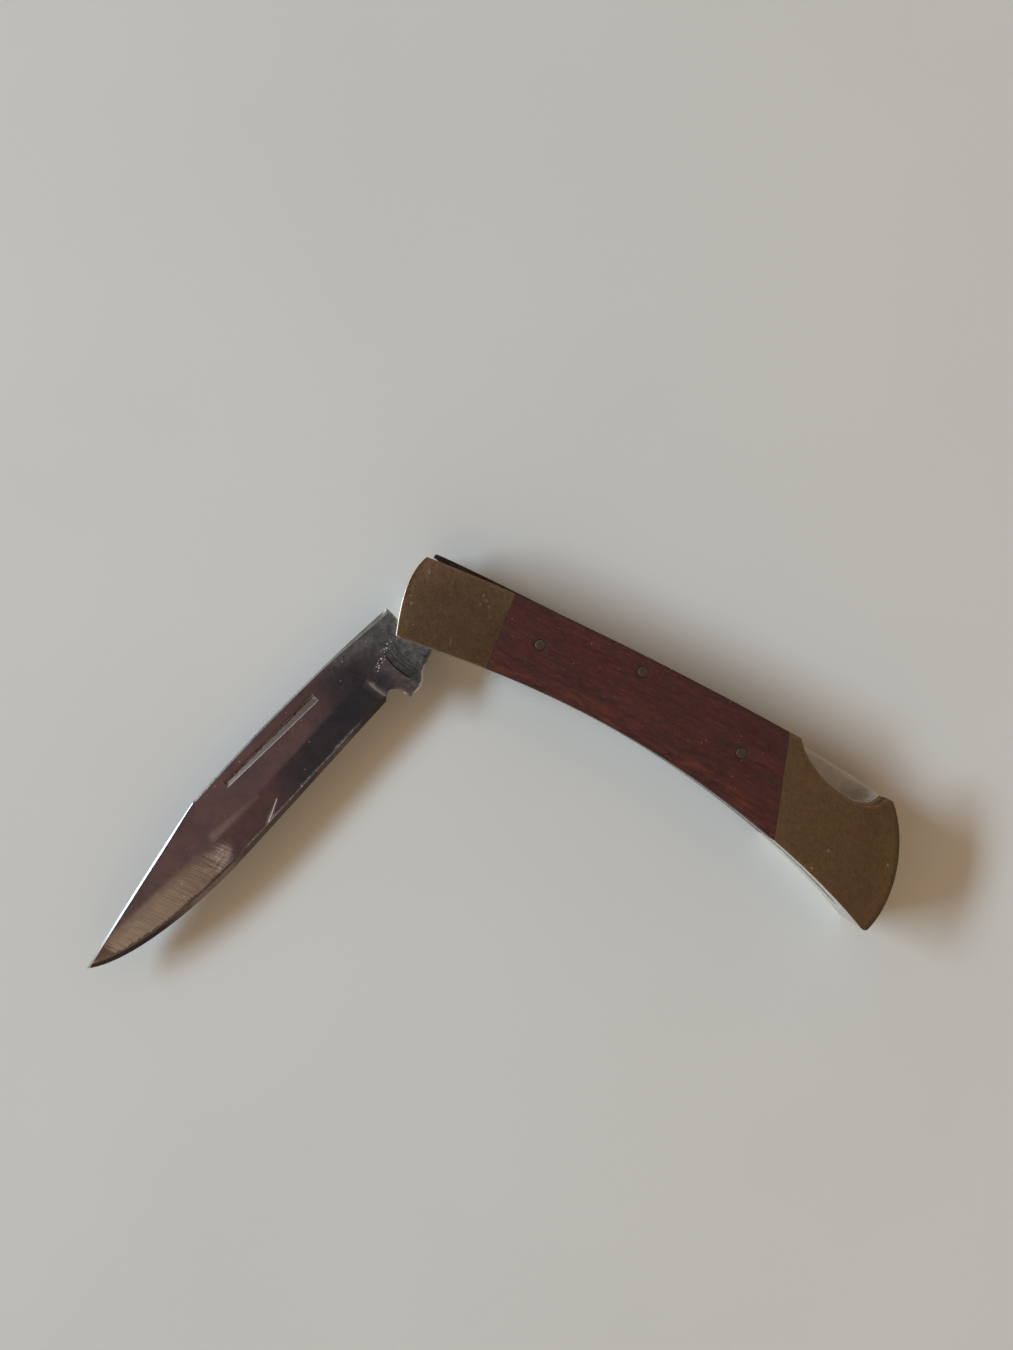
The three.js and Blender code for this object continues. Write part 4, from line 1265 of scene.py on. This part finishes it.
def window(name, azimuth, elevation, distance, width, height, power, colour):
    """An area light seen from the knife at an azimuth counted anticlockwise from the photograph's right."""
    a, e = math.radians(azimuth), math.radians(elevation)
    away = (RIGHT * math.cos(a) + UP * math.sin(a)) * math.cos(e) + Vector((0, 0, math.sin(e)))
    data = bpy.data.lights.new(name, "AREA")
    data.shape = "RECTANGLE"
    data.size, data.size_y = width, height
    data.energy = power
    data.color = colour
    obj = add_object(name, data)
    obj.location = CENTRE + away * distance
    obj.rotation_mode = "QUATERNION"
    obj.rotation_quaternion = away.to_track_quat("Z", "Y")


window("window", 172, 27, 4.0, 2.6, 0.60, 207, (0.775, 1.01, 1.243))

world = bpy.data.worlds.new("room")
bpy.context.scene.world = world
world.use_nodes = True
g = Graph(world.node_tree)
direction = g.node("TexCoord", out=0)
height = g.node("SeparateXYZ", {0: direction}, out=2)


def sky_patch(right, down, inner, outer):
    """1 near a place in the sky, given in degrees from straight above, and 0 beyond the outer angle."""
    place = RIGHT * math.sin(math.radians(right)) - UP * math.sin(math.radians(down))
    place.z = math.sqrt(1 - place.length_squared)
    near = g.node("VectorMath", {0: direction, 1: tuple(place)}, out=1, operation="DOT_PRODUCT")
    return g.span(near, math.cos(math.radians(outer)), math.cos(math.radians(inner)))


def sky_half(right, down, start, end):
    """0 to 1 across a straight line in the sky, counted in degrees along a direction right and down."""
    along = RIGHT * right - UP * down
    share = g.node("VectorMath", {0: direction, 1: tuple(along)}, out=1, operation="DOT_PRODUCT")
    return g.span(share, math.sin(math.radians(start)), math.sin(math.radians(end)))


room = g.blend(sky_half(0.8, -0.6, -30, 40), (1.02, 0.74, 0.48), (0.80, 0.53, 0.33))
room = g.blend(sky_patch(-41, -36, 14, 24), room, (0.50, 0.50, 0.50))
sky = g.blend(g.span(height, 0.90, 0.76), (0.146, 0.086, 0.080), room)
sky = g.blend(sky_patch(0, 19.5, 2.5, 5.5), sky, (0.115, 0.060, 0.056))
sky = g.blend(sky_patch(32, 6, 8, 20), sky, (0.24, 0.185, 0.135))
sky = g.blend(sky_patch(-12.5, 27, 6.5, 9.5), sky, (0.34, 0.245, 0.165))
dark = g.times(sky_half(0.838, -0.545, -8.9, -7.6), sky_patch(7, 4, 17, 21))
sky = g.blend(dark, sky, (0.040, 0.036, 0.038))
background = g.node("Background", {"Color": sky, "Strength": 1.0})
g.node("OutputWorld", {0: background})

camera = bpy.data.cameras.new("camera")
camera.lens = CAMERA_LENS
camera.sensor_width = 36
camera.clip_start = 0.01
camera.clip_end = 20
viewer = add_object("camera", camera)
viewer.rotation_mode = "QUATERNION"
viewer.rotation_quaternion = CAMERA_MATRIX.to_quaternion()
viewer.location = CAMERA_PLACE
bpy.context.scene.camera = viewer
bpy.context.scene.view_settings.view_transform = "Standard"

bpy.context.view_layer.update()
